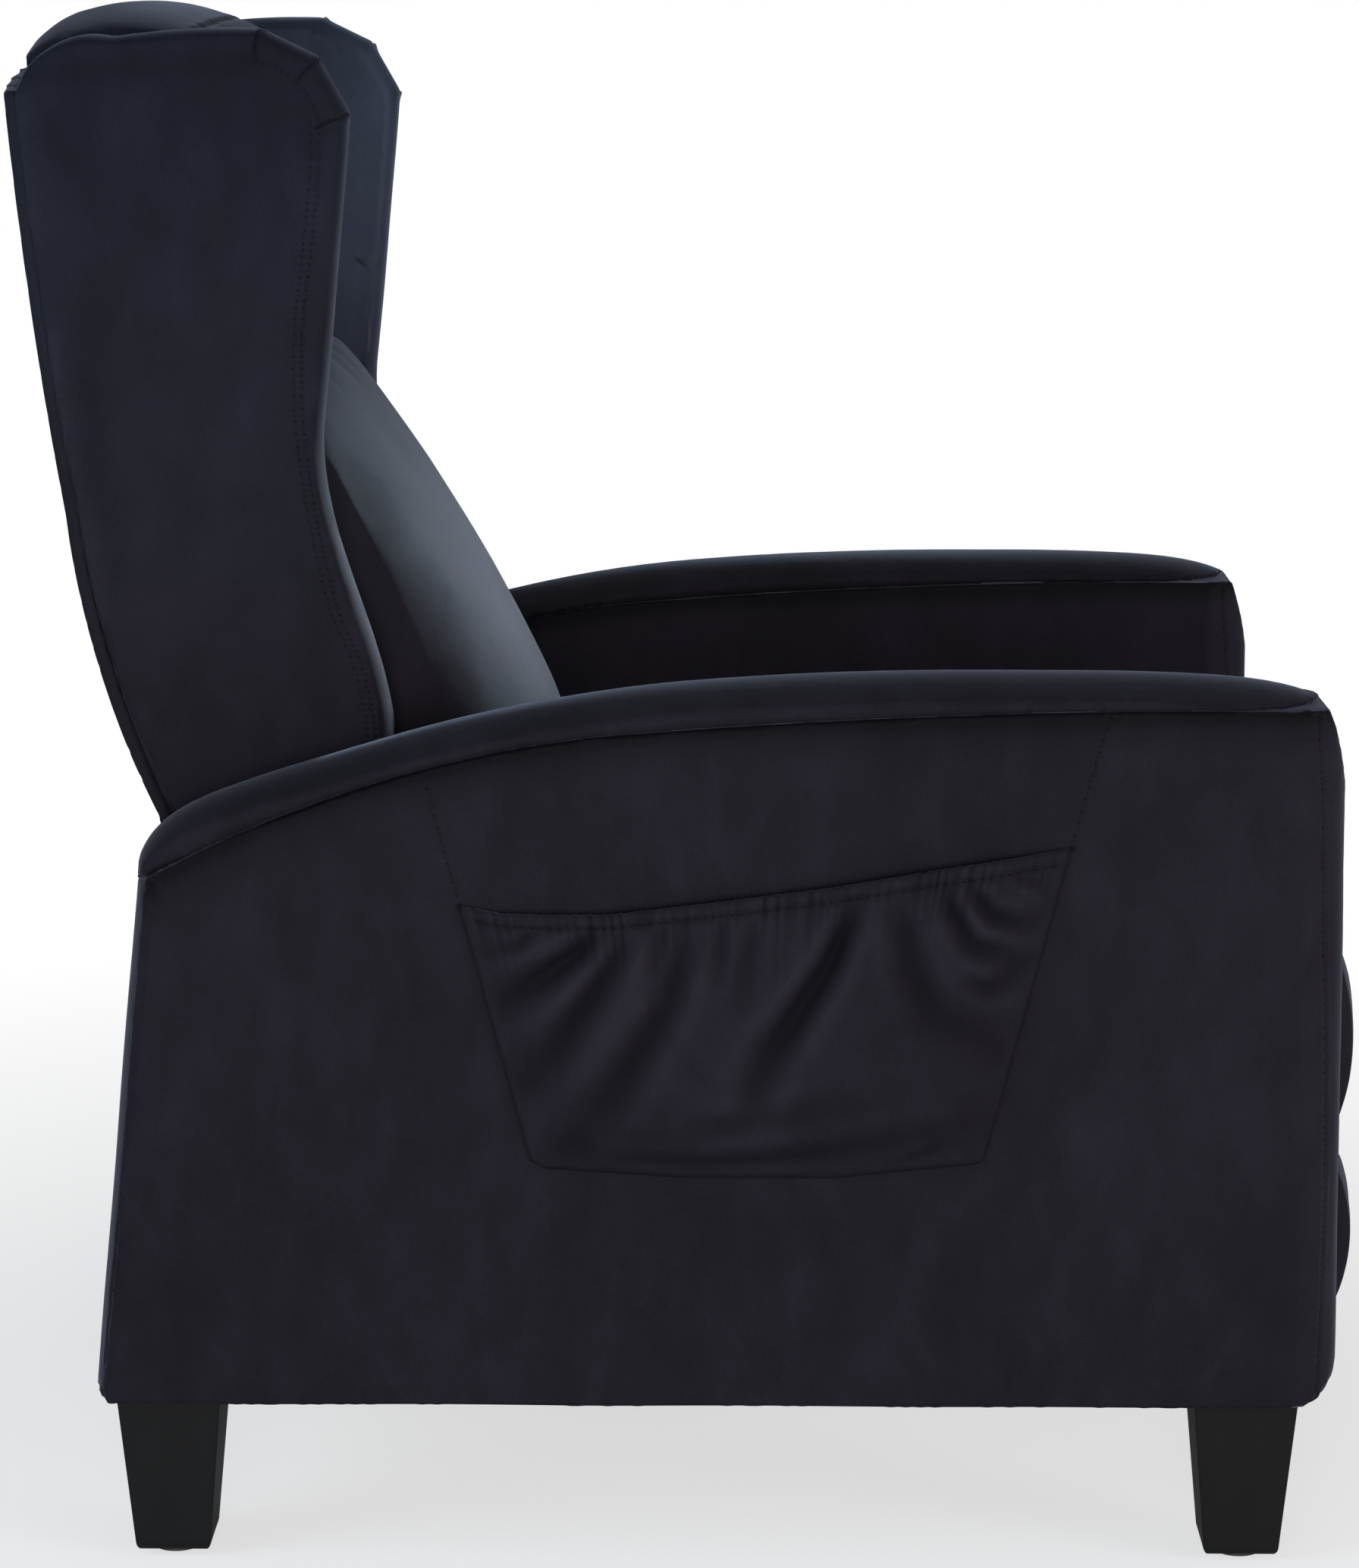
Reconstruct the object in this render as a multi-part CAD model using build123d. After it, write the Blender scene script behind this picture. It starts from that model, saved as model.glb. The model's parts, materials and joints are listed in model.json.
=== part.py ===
"""Push-back wingback recliner: padded back with wings, box arms with side pockets, hidden footrest.

Units are millimetres. X runs across the chair, -Y is the way the sitter faces, +Z is up.
The origin is on the floor in the middle of the chair. The sitter's left is +X.
"""
from build123d import *
from math import cos, hypot, radians, sin, atan2, degrees
import os

# ---- driving dimensions -------------------------------------------------------------------
seam_gap = 0.3              # air between an upholstered piece and its neighbour

back_half_width = 242.0     # wing's outer face
arm_clearance = 3.0         # from the wing's outer face to the arm
arm_inner = back_half_width + arm_clearance     # |X| of the arm's inner face
arm_width = 100.0
arm_bottom = 115.0          # underside of the arm, which is the leg's height
arm_front_seam_low = -408.0
arm_front_seam_high = -403.0
arm_rear_seam_low = 392.5
arm_rear_seam_high = 341.0
arm_front_crown = 33.0      # how far the front boxing swells past its seams
arm_rear_crown = 11.0
arm_wall_out = 15.0         # foam and cloth over the outside of the frame
arm_wall_in = 5.5
arm_roll_rise = 21.0        # crown of the arm pad over the crease line
arm_roll_overhang = 1.5     # over the arm's outer side; the inner side stays flush for the wing
frame_board = 18.0          # plywood of the arm frames

leg_top = 70.0
leg_foot = 51.0
leg_foot_bevel = 4.0        # height of the bevel round the foot
leg_tip = 46.0
leg_centre_x = arm_inner + 0.55 * arm_width
front_leg_y = -377.0
rear_leg_y = 350.0
glide_radius = 16.0
glide_height = 4.0
hanger_bolt_radius = 4.0

pocket_cloth = 2.4          # thickness of the gathered pocket cloth
pocket_swell = 15.0         # how far the pouch stands off the arm

steel = 3.0                 # thickness of every pressed steel bar and plate
layer_pitch = 5.0           # distance from one bar's face to the same face of the next
link_radius = 10.0          # half width of a link bar
rivet_radius = 4.0
rivet_head_radius = 7.0
rivet_head = 1.3
own_fit = 0.05              # radial play where the rivet is clenched
run_fit = 0.15              # radial play where the bar turns on the rivet

wing_thickness = 46.0
wing_board = 15.0           # plywood inside the wing
wing_foam_out = 18.5
back_panel = 10.0           # padded outside back
back_crown = 14.0           # outside back's swell at the middle
back_crown_rise = 13.0      # and how far its top edge rises there
wing_rear_press = 1.7       # the wing meets the outside back where its edge is already swelling

cushion_half_width = back_half_width - wing_thickness - 3.0
seat_half_width = arm_inner - 5.0
rail_top = 333.0            # seat rails, under the seat plates' flanges
seat_base = rail_top + steel + seam_gap
board_high = 400.0          # top edge of the footrest board
seat_nose_base = board_high + 18.0      # the cushion's nose overhangs the footrest
seat_top = seat_nose_base + 34.0
seat_crown = 14.0
seat_front = -412.0
seat_rear = 205.0
seat_nose_back = -382.0
seat_end_tuck = 14.0        # the cushion's ends draw in by this
lumbar_base = seat_top + seat_crown     # underside of the back's lower cushion, just over the seat

mechanism_width = 45.0      # from the arm to the seat's wooden rails
rail_half_width = arm_inner - mechanism_width
rail_thick = 25.0
rail_height = 47.5

recline_max = 38.0          # degrees
cross_tube_radius = 8.0
glide_link = 100.0          # length of the four swing links
glide_lean = recline_max / 2        # they lean back by this at rest and forward by it when reclined
front_glide_pin = (-120.0, 315.0)
rear_glide_pin = (180.0, 315.0)
back_pin = (270.0, 400.0)

footrest_pin = (-307.4, 277.0)      # main link's pivot on the seat plate
main_link = 184.0
main_link_angle = -110.0            # measured from straight ahead, up being positive
fore_link = 202.0
fore_link_angle = 60.0
second_pin_reach = 56.0             # control link's pivot on the seat plate
second_pin_angle = 135.0
tail_reach = 32.0                   # fore link's tail, past the main link
tail_angle = 98.0
control_link = 208.0
control_link_angle = -105.2
crank_reach = 27.6                  # main link's crank plate
crank_angle = 105.0
guide_reach = 32.0                  # guide link's pivot in front of the fore link's
tail_hole_play = 2.2                # the opened pivots' radial play
guide_hole_play = 0.5

board_back = -392.0         # rear face of the footrest board
board_thick = 15.0
board_low = 146.0
board_half_width = arm_inner - 20.0
roll_half_width = arm_inner - 9.0
roll_depth = 59.0           # how far the lower roll stands off the board
roll_end_tuck = 7.0         # the rolls' ends draw in by this
upper_roll_depth = 57.0

panel_rear = 387.0          # rear face of the base's back panel, at its foot
panel_thick = 24.0
panel_top = 400.0
panel_lean = 35.0           # its top stands this far in front of its foot

strap_width = 50.0
strap_thick = 1.5
strap_pitch = 62.0
bottom_rail = (402.0, 447.0)        # heights of the back's two wooden rails
top_rail = (925.0, 968.0)
back_rail_thick = 24.0


# ---- shared helpers -----------------------------------------------------------------------
def side(x):
    """Plane whose local x and y are the chair's Y and Z, at a given X."""
    return Plane(origin=(x, 0, 0), x_dir=(0, 1, 0), z_dir=(1, 0, 0))


def prism(outline, x0, x1):
    return extrude(side(x0) * outline, amount=x1 - x0)


def other_side(solid):
    return mirror(solid, about=Plane.YZ)


def ahead(start, reach, angle):
    """Point at a reach from start, its angle taken from straight ahead (-Y) upwards."""
    return (start[0] - reach * cos(radians(angle)), start[1] + reach * sin(radians(angle)))


def stadium(p, q, radius):
    middle = ((p[0] + q[0]) / 2, (p[1] + q[1]) / 2)
    turn = degrees(atan2(q[1] - p[1], q[0] - p[0]))
    return Pos(*middle) * Rot(0, 0, turn) * SlotCenterToCenter(hypot(q[0] - p[0], q[1] - p[1]), 2 * radius)


def bar(layer, points, holes, radius=link_radius):
    """Pressed bar in one layer, through its points, with (point, radius) holes."""
    sketch = stadium(points[0], points[1], radius)
    for p, q in zip(points[1:], points[2:]):
        sketch += stadium(p, q, radius)
    for centre, hole in holes:
        sketch -= Pos(*centre) * Circle(hole)
    return prism(sketch, layer, layer + steel)


def peg(centre, x0, x1, radius):
    return prism(Pos(*centre) * Circle(radius), x0, x1)


def rivet(centre, inner, outer, flush=False):
    """Shouldered rivet through two bars: inner and outer are the layers' low faces."""
    head_end = outer + steel if flush else outer + steel + rivet_head
    shank = peg(centre, inner - rivet_head, head_end, rivet_radius)
    shoulder = peg(centre, inner + steel + 0.1, outer - 0.1, rivet_head_radius)
    pin = shank + shoulder + peg(centre, inner - rivet_head, inner - 0.05, rivet_head_radius)
    if not flush:
        pin += peg(centre, outer + steel + 0.05, head_end, rivet_head_radius)
    return pin


def spread(half, power):
    """Loft stations across the width, with how far each is drawn in: 0 in the middle, 1 at the ends."""
    shares = (-1.0, -0.84, -0.52, 0.0, 0.52, 0.84, 1.0)
    return [(half * share, abs(share) ** power) for share in shares]


def both(solids):
    """Group of separate solids, on the left and mirrored on the right."""
    return Compound(children=[*solids, *[other_side(s) for s in solids]])


def block(x0, x1, y0, y1, z0, z1):
    return Pos((x0 + x1) / 2, (y0 + y1) / 2, (z0 + z1) / 2) * Box(x1 - x0, y1 - y0, z1 - z0)


def save(name, shape):
    shape.label = name
    export_step(shape, os.path.join("parts", name + ".step"))


def save_pair(name, solid):
    save(name + "_left", solid)
    save(name + "_right", other_side(solid))


# ---- arms ---------------------------------------------------------------------------------
crease_rear = (366.0, 470.0)
crease_low = (230.0, 532.0)
crease_knee = (60.0, 571.5)
crease_high = (-170.0, 586.0)
crease_front = (-421.0, 589.0)
front_cheek = (-431.5, 556.0)       # the front boxing's rounded top corner
front_shoulder = (-438.0, 520.0)


def crease_line(lift):
    """The seam between the arm's side and its pad, seen from the side."""
    up = [(p[0], p[1] + lift) for p in (crease_rear, crease_low, crease_knee, crease_high, crease_front)]
    return [ThreePointArc(up[0], up[1], up[2]), ThreePointArc(up[2], up[3], up[4])]


def arm_side_outline():
    low_front = (-446.0, arm_bottom + 50.0)
    high_front = (-446.0, front_shoulder[1])
    low_rear = (404.0, arm_bottom + 12.0)
    rear_turn = (391.0, arm_bottom)
    front_turn = (-418.0, arm_bottom)
    return make_face(
        crease_line(0)
        + [
            ThreePointArc(crease_front, front_cheek, front_shoulder),
            Line(front_shoulder, high_front),
            Line(high_front, low_front),
            ThreePointArc(low_front, (-436.0, arm_bottom + 14.0), front_turn),
            Line(front_turn, rear_turn),
            ThreePointArc(rear_turn, (400.0, arm_bottom + 4.0), low_rear),
            Line(low_rear, (378.0, 470.0)),
            Line((378.0, 470.0), crease_rear),
        ]
    )


def arm_plan(z, front, rear, spare):
    """Horizontal section of the arm: straight sides and swelling boxing at both ends."""
    inner = arm_inner - spare
    outer = arm_inner + arm_width + spare
    middle = arm_inner + arm_width / 2
    edges = [
        Line((inner, front), (inner, rear)),
        ThreePointArc((inner, rear), (middle, rear + arm_rear_crown), (outer, rear)),
        Line((outer, rear), (outer, front)),
        ThreePointArc((outer, front), (middle, front - arm_front_crown), (inner, front)),
    ]
    return Pos(0, 0, z) * make_face(edges)


def arm_block(spare=0.0):
    """The arm's plan from under its foot to over its crest; spare widens it past the sides."""
    low = arm_plan(arm_bottom - 10, arm_front_seam_low, arm_rear_seam_low, spare)
    high = arm_plan(arm_bottom + 500, arm_front_seam_high, arm_rear_seam_high, spare)
    return loft([low, high], ruled=True)


def frame_outline():
    """Plywood outline inside the arm."""
    return Polygon(
        (-390, arm_bottom), (372, arm_bottom), (333, 452), (226, 508), (60, 549), (-150, 563), (-386, 566),
        align=None,
    )


plate_bolt_points = [(-205.0, 236.0), (-70.0, 205.0), (70.0, 205.0), (205.0, 236.0)]
bolt_radius = 4.0
bolt_head_radius = 8.0
bolt_head = 3.2


def arm_frame():
    x0 = arm_inner + arm_wall_in + seam_gap
    x1 = arm_inner + arm_width - arm_wall_out - seam_gap
    window = offset(frame_outline(), amount=-36, kind=Kind.INTERSECTION)
    frame = prism(frame_outline(), x0, x1) - prism(window, x0 + frame_board, x1 + 1)
    for p in plate_bolt_points:
        frame -= peg(p, x0 - 1, x0 + frame_board + 1, bolt_radius + own_fit)
    for y in (front_leg_y, rear_leg_y):
        frame -= Pos(leg_centre_x, y, arm_bottom + 15) * Cylinder(hanger_bolt_radius + own_fit, 40)
    return frame


def arm_cover():
    cover = arm_block() & prism(arm_side_outline(), arm_inner - 1, arm_inner + arm_width + 1)
    cavity = offset(frame_outline(), amount=seam_gap, kind=Kind.INTERSECTION)
    cover -= prism(cavity, arm_inner + arm_wall_in, arm_inner + arm_width - arm_wall_out)
    for p in plate_bolt_points:
        cover -= peg(p, arm_inner - 1, arm_inner + arm_wall_in + 1, bolt_radius + 0.3)
    return cover.solid()


def arm_pad():
    """Low padded roll along the arm, lofted over the crest and cut to the crease."""
    #         y      crest  drawn in by
    crest = [
        (364.0, 486.0, 11.0), (340.0, 512.5, 5.0), (300.0, 530.5, 1.5), (235.0, 551.0, 0.0),
        (120.0, 582.0, 0.0), (-40.0, 603.0, 0.0), (-197.0, 608.0, 0.0), (-330.0, 606.0, 0.5),
        (-385.0, 601.0, 1.0), (-420.5, 590.5, 2.0),
    ]
    sections = []
    for y, z, tuck in crest:
        inner = arm_inner + 0.5 + tuck
        outer = arm_inner + arm_width + arm_roll_overhang - tuck
        foot = z - 60
        cheek = z - 1.1 * arm_roll_rise
        bulge = z - 0.8 * arm_roll_rise
        shoulder = z - 0.45 * arm_roll_rise
        edges = [
            Line((inner + 2, foot), (outer - 2, foot)),
            Line((outer - 2, foot), (outer - 2, cheek)),
            ThreePointArc((outer - 2, cheek), (outer, bulge), (outer - 6, shoulder)),
            ThreePointArc((outer - 6, shoulder), ((inner + outer) / 2, z), (inner + 6, shoulder)),
            ThreePointArc((inner + 6, shoulder), (inner, bulge), (inner + 2, cheek)),
            Line((inner + 2, cheek), (inner + 2, foot)),
        ]
        sections.append(Plane(origin=(0, y, 0), x_dir=(1, 0, 0), z_dir=(0, -1, 0)) * make_face(edges))
    roll = loft(sections) & arm_block(spare=2 * arm_roll_overhang)
    front_drop = Line((crease_front[0], crease_front[1] + seam_gap), (crease_front[0], 300))
    base_line = Line((crease_front[0], 300), (crease_rear[0], 300))
    rear_rise = Line((crease_rear[0], 300), (crease_rear[0], crease_rear[1] + seam_gap))
    below = make_face(crease_line(seam_gap) + [front_drop, base_line, rear_rise])
    under = prism(below, arm_inner - 20, arm_inner + arm_width + 20)
    return (roll - under).solids().sort_by(SortBy.VOLUME)[-1]


def side_pocket():
    """Gathered pouch on the arm's outer side: closed at the bottom and both edges, open at the top."""
    face = arm_inner + arm_width + seam_gap
    #        left end         right end        swell of the cloth
    stations = [
        ((98.0, 277.0), (-192.0, 279.0), 0.22),
        ((112.0, 322.0), (-206.0, 325.0), 0.80),
        ((130.0, 388.0), (-226.0, 400.0), 1.00),
        ((145.0, 442.0), (-246.0, 476.0), 0.78),
        ((149.0, 459.0), (-252.0, 499.0), 0.70),
    ]
    knots = [0.0, 0.72, 0.80, 0.76, 0.0]       # the cloth between two folds
    folds = [0.80, 0.98, 1.0, 0.90]            # the folds' crests
    sections = []
    for left, right, swell in stations:
        def at(share, stand):
            y = left[0] + (right[0] - left[0]) * share
            z = left[1] + (right[1] - left[1]) * share
            return (face + stand, y, z)

        rise = pocket_swell * swell - pocket_cloth
        outer = [at(i / 4, pocket_cloth + rise * k) for i, k in enumerate(knots)]
        crests = [at((i + 0.5) / 4, pocket_cloth + rise * k) for i, k in enumerate(folds)]
        inner = [at(i / 4, rise * k) for i, k in enumerate(knots)]
        hollows = [at((i + 0.5) / 4, rise * k) for i, k in enumerate(folds)]
        edges = [ThreePointArc(outer[i], crests[i], outer[i + 1]) for i in range(4)]
        edges += [Line(outer[4], inner[4])]
        edges += [ThreePointArc(inner[i + 1], hollows[i], inner[i]) for i in (3, 2, 1, 0)]
        edges += [Line(inner[0], outer[0])]
        sections.append(Wire(edges))
    return Solid.make_loft(sections)


def leg(y):
    foot = [
        Pos(leg_centre_x, y, glide_height) * Rectangle(leg_tip, leg_tip),
        Pos(leg_centre_x, y, glide_height + leg_foot_bevel) * Rectangle(leg_foot, leg_foot),
        Pos(leg_centre_x, y, arm_bottom) * Rectangle(leg_top, leg_top),
    ]
    hole = Pos(leg_centre_x, y, arm_bottom - 15) * Cylinder(hanger_bolt_radius + own_fit, 30.2)
    return loft(foot, ruled=True) - hole


os.makedirs("parts", exist_ok=True)
save_pair("arm_frame", arm_frame())
save_pair("arm_cover", arm_cover())
save_pair("arm_pad", arm_pad())
save_pair("side_pocket", side_pocket())
save_pair("front_leg", leg(front_leg_y))
save_pair("rear_leg", leg(rear_leg_y))
leg_places = [(leg_centre_x, front_leg_y), (leg_centre_x, rear_leg_y)]
glides = [Pos(x, y, glide_height / 2) * Cylinder(glide_radius, glide_height) for x, y in leg_places]
hangers = [Pos(x, y, arm_bottom) * Cylinder(hanger_bolt_radius, 30) for x, y in leg_places]
save("leg_glides", both(glides))
save("hanger_bolts", both(hangers))


# ---- base between the arms ----------------------------------------------------------------
base_half = arm_inner - seam_gap


def cross_rail(y):
    return block(-base_half, base_half, y, y + rail_thick, arm_bottom + 3, arm_bottom + 73)


def rear_base_panel():
    """Padded board that closes the back between the arms, sloped as the arms' rear edges are."""
    foot = arm_bottom + 3
    outline = Polygon(
        (panel_rear - panel_thick, foot), (panel_rear, foot),
        (panel_rear - panel_lean, panel_top), (panel_rear - panel_lean - panel_thick, panel_top),
        align=None,
    )
    panel = prism(outline, -base_half, base_half)
    return fillet(panel.edges().filter_by(Axis.X).group_by(Axis.Z)[-1], 8)


save("front_base_rail", cross_rail(-193.0))
save("rear_base_rail", cross_rail(300.0))
save("rear_base_panel", rear_base_panel())

# ---- seat mechanism: layers from the arm inwards ------------------------------------------
base_layer = arm_inner - 0.5 - steel
swing_layer = base_layer - layer_pitch
seat_layer = swing_layer - layer_pitch
main_layer = seat_layer - layer_pitch
fore_layer = main_layer - layer_pitch
control_layer = fore_layer - layer_pitch
guide_layer = seat_layer
bracket_layer = main_layer

lean_y = glide_link * sin(radians(glide_lean))
lean_z = glide_link * cos(radians(glide_lean))
front_base_pin = (front_glide_pin[0] - lean_y, front_glide_pin[1] - lean_z)
rear_base_pin = (rear_glide_pin[0] - lean_y, rear_glide_pin[1] - lean_z)
clenched = rivet_radius + own_fit
turning = rivet_radius + run_fit


def base_plate():
    low, high = front_base_pin[1] - 27, front_base_pin[1] + 30
    ends = [plate_bolt_points[0], plate_bolt_points[-1]]
    sketch = Pos(0, (low + high) / 2 - 2) * Rectangle(400, high - low - 4)
    sketch += stadium((-190, ends[0][1]), ends[0], 14) + stadium((190, ends[1][1]), ends[1], 14)
    for slot_y in (-70.0, 70.0):
        sketch -= Pos(slot_y, 236) * SlotOverall(70, 12)
    sketch -= Pos(0, 222) * SlotOverall(60, 20)
    for p in (front_base_pin, rear_base_pin):
        sketch -= Pos(*p) * Circle(clenched)
    for p in plate_bolt_points:
        sketch -= Pos(*p) * Circle(bolt_radius + own_fit)
    return prism(sketch, base_layer, base_layer + steel)


def plate_bolt(p):
    tip = arm_inner + arm_wall_in + seam_gap + frame_board
    shank = peg(p, base_layer - 0.05, tip, bolt_radius)
    return shank + peg(p, base_layer - bolt_head, base_layer - 0.05, bolt_head_radius)


def swing_links(top, foot):
    """A pair of links and the cross tube that is welded between them."""
    link = bar(swing_layer, [foot, top], [(foot, turning), (top, turning)])
    middle = ((top[0] + foot[0]) / 2, (top[1] + foot[1]) / 2)
    tube = peg(middle, -swing_layer, swing_layer, cross_tube_radius)
    tube -= peg(middle, -swing_layer - 1, swing_layer + 1, cross_tube_radius - 1.5)
    return Compound(children=[link, other_side(link), tube])


save_pair("base_plate", base_plate())
save("base_plate_bolts", both([plate_bolt(p) for p in plate_bolt_points]))
base_pins = [rivet(p, swing_layer, base_layer, flush=True) for p in (front_base_pin, rear_base_pin)]
save("base_rivets", both(base_pins))
save("front_swing_frame", swing_links(front_glide_pin, front_base_pin))
save("rear_swing_frame", swing_links(rear_glide_pin, rear_base_pin))

# ---- footrest linkage, closed -------------------------------------------------------------
knee = ahead(footrest_pin, main_link, main_link_angle)
fore_end = ahead(knee, fore_link, fore_link_angle)
second_pin = ahead(footrest_pin, second_pin_reach, second_pin_angle)
tail = ahead(knee, tail_reach, fore_link_angle + tail_angle)
control_end = ahead(second_pin, control_link, control_link_angle)
crank = ahead(knee, crank_reach, main_link_angle + crank_angle)
guide_pin = ahead(fore_end, guide_reach, 0)


def seat_plate():
    """Steel angle under the seat cushion: its web holds every pivot, its flange lies on the seat rail."""
    riser = (back_pin[0] - 25, 332.0)
    web = stadium(footrest_pin, second_pin, 12) + stadium(second_pin, front_glide_pin, 11)
    web += stadium(front_glide_pin, rear_glide_pin, 11) + stadium(rear_glide_pin, riser, 11)
    web += stadium(riser, back_pin, 13)
    web += Pos(-40, 324) * Rectangle(440, 24)
    for p in (footrest_pin, second_pin, front_glide_pin, rear_glide_pin, back_pin):
        web -= Pos(*p) * Circle(clenched)
    angle = prism(web, seat_layer, seat_layer + steel)
    angle += block(rail_half_width - rail_thick, seat_layer + steel, -260, 180, rail_top, rail_top + steel)
    return angle


bracket_inner = back_half_width - wing_foam_out + 0.1
seat_pins = [
    rivet(footrest_pin, main_layer, seat_layer),
    rivet(second_pin, control_layer, seat_layer),
    rivet(front_glide_pin, seat_layer, swing_layer),
    rivet(rear_glide_pin, seat_layer, swing_layer),
    rivet(back_pin, bracket_inner, seat_layer),
]
save_pair("seat_plate", seat_plate())
save("seat_rivets", both(seat_pins))

main_holes = [(footrest_pin, turning), (knee, clenched), (crank, clenched)]
main_bar = bar(main_layer, [footrest_pin, knee, crank], main_holes)
fore_bar = bar(fore_layer, [tail, knee, fore_end], [(tail, clenched), (knee, turning), (fore_end, clenched)])
control_bar = bar(
    control_layer,
    [second_pin, control_end],
    [(second_pin, turning), (control_end, rivet_radius + tail_hole_play)],
    radius=link_radius + 1,
)
guide_holes = [(crank, turning), (guide_pin, rivet_radius + guide_hole_play)]
guide_bar = bar(guide_layer, [crank, guide_pin], guide_holes)
main_pins = [rivet(knee, fore_layer, main_layer), rivet(crank, main_layer, guide_layer)]
fore_pins = [rivet(fore_end, fore_layer, bracket_layer), rivet(tail, control_layer, fore_layer)]
save("main_links", both([main_bar]))
save("main_link_rivets", both(main_pins))
save("fore_links", both([fore_bar]))
save("fore_link_rivets", both(fore_pins))
save("control_links", both([control_bar]))
save("guide_links", both([guide_bar]))


# ---- footrest board and its two rolls -----------------------------------------------------
def footrest_bracket():
    sketch = stadium(fore_end, guide_pin, 11)
    sketch += make_face(
        Polyline(
            (guide_pin[0] + 6, guide_pin[1] + 11),
            (board_back, guide_pin[1] + 45),
            (board_back, guide_pin[1] - 45),
            (guide_pin[0] + 6, guide_pin[1] - 11),
            (guide_pin[0] + 6, guide_pin[1] + 11),
        )
    )
    sketch -= Pos(*fore_end) * Circle(turning)
    sketch -= Pos(*guide_pin) * Circle(clenched)
    web = prism(sketch, bracket_layer, bracket_layer + steel)
    foot_y = board_back + steel
    low, high = guide_pin[1] - 45, guide_pin[1] + 45
    return web + block(bracket_layer - 26, bracket_layer + steel, board_back, foot_y, low, high)


board_screw_rows = (guide_pin[1] - 32, guide_pin[1] + 32)


def board_screw(z):
    x = bracket_layer - 14
    shank = Pos(x, board_back - 4, z) * Rot(90, 0, 0) * Cylinder(2.5, 14)
    return shank + Pos(x, board_back + steel + 1.2, z) * Rot(90, 0, 0) * Cylinder(5.5, 2.2)


bracket = footrest_bracket()
board = block(-board_half_width, board_half_width, board_back - board_thick, board_back, board_low, board_high)
screws = [board_screw(z) for z in board_screw_rows]
for screw in screws:
    bracket -= Pos(screw.center().X, board_back, screw.center().Z) * Rot(90, 0, 0) * Cylinder(2.6, 40)
for screw in both(screws).solids():
    board -= Pos(screw.center().X, board_back, screw.center().Z) * Rot(90, 0, 0) * Cylinder(2.55, 24)
save("footrest_board", board)
save_pair("footrest_bracket", bracket)
save("footrest_screws", both(screws))
save("footrest_rivets", both([rivet(guide_pin, bracket_layer, guide_layer)]))


def footrest_roll(low, high, depth):
    """One of the two stuffed rolls on the footrest board."""
    face = board_back - board_thick - seam_gap
    front = board_back - board_thick - depth
    sections = []
    for x, draw in spread(roll_half_width, 5):
        tuck = roll_end_tuck * draw
        low_z, high_z, nose = low + tuck, high - tuck, front + tuck
        shoulder = nose + 15
        edges = [
            Line((face, low_z), (shoulder, low_z)),
            ThreePointArc((shoulder, low_z), (nose, (low_z + high_z) / 2), (shoulder, high_z)),
            Line((shoulder, high_z), (face, high_z)),
            Line((face, high_z), (face, low_z)),
        ]
        sections.append(side(x) * make_face(edges))
    return loft(sections)


save("footrest_upper_roll", footrest_roll(263.0, 411.0, upper_roll_depth))
save("footrest_lower_roll", footrest_roll(137.0, 262.5, roll_depth))

# ---- seat ---------------------------------------------------------------------------------
rail_low = rail_top - rail_height
front_rail_y = -376.0
rear_rail_y = seat_rear + 32.0
front_rail_inner = front_rail_y + rail_thick
rear_rail_outer = rear_rail_y + rail_thick


def seat_rail(x0, x1, y0, y1):
    return block(x0, x1, y0, y1, rail_low, rail_top)


save("seat_front_rail", seat_rail(-rail_half_width, rail_half_width, front_rail_y, front_rail_inner))
save("seat_rear_rail", seat_rail(-rail_half_width, rail_half_width, rear_rail_y, rear_rail_outer))
side_rail = seat_rail(rail_half_width - rail_thick, rail_half_width, front_rail_inner, rear_rail_y)
save_pair("seat_side_rail", side_rail)
strap_places = [-2 * strap_pitch, -strap_pitch, 0.0, strap_pitch, 2 * strap_pitch]


def seat_strap(x):
    half = strap_width / 2
    return block(x - half, x + half, front_rail_y + 2, rear_rail_outer - 2, rail_top, rail_top + strap_thick)


save("seat_straps", Compound(children=[seat_strap(x) for x in strap_places]))


def seat_cushion():
    """Box cushion with a crowned top, drawn-in ends and a nose over the footrest."""
    sections = []
    for x, draw in spread(seat_half_width, 4):
        tuck = seat_end_tuck * draw
        top, nose, heel = seat_top - tuck, seat_front + tuck, seat_rear - tuck
        edges = [
            Line((heel, seat_base), (seat_nose_back, seat_base)),
            Line((seat_nose_back, seat_base), (seat_nose_back, seat_nose_base)),
            Line((seat_nose_back, seat_nose_base), (nose, seat_nose_base)),
            ThreePointArc((nose, seat_nose_base), (nose - 12, (seat_nose_base + top) / 2), (nose + 8, top)),
            ThreePointArc((nose + 8, top), ((nose + heel) / 2, top + seat_crown), (heel, top)),
            ThreePointArc((heel, top), (heel + 6, (seat_base + top) / 2), (heel, seat_base)),
        ]
        sections.append(side(x) * make_face(edges))
    return loft(sections)


save("seat_cushion", seat_cushion())

# ---- back ---------------------------------------------------------------------------------
# rear outline of the back seen from the side, bottom to top
rear_foot = (336.0, 410.0)
rear_bend = (361.0, 500.0)
rear_low = (396.0, 592.0)
rear_middle = (418.0, 705.0)
rear_high = (439.0, 850.0)
rear_top = (452.0, 985.0)


def moved(p, back=0.0, up=0.0):
    return (p[0] + back, p[1] + up)


def back_swell(x):
    """How far the outside back swells out and up at x."""
    share = 1 - (x / back_half_width) ** 2
    return back_crown * share, back_crown_rise * share


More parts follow.
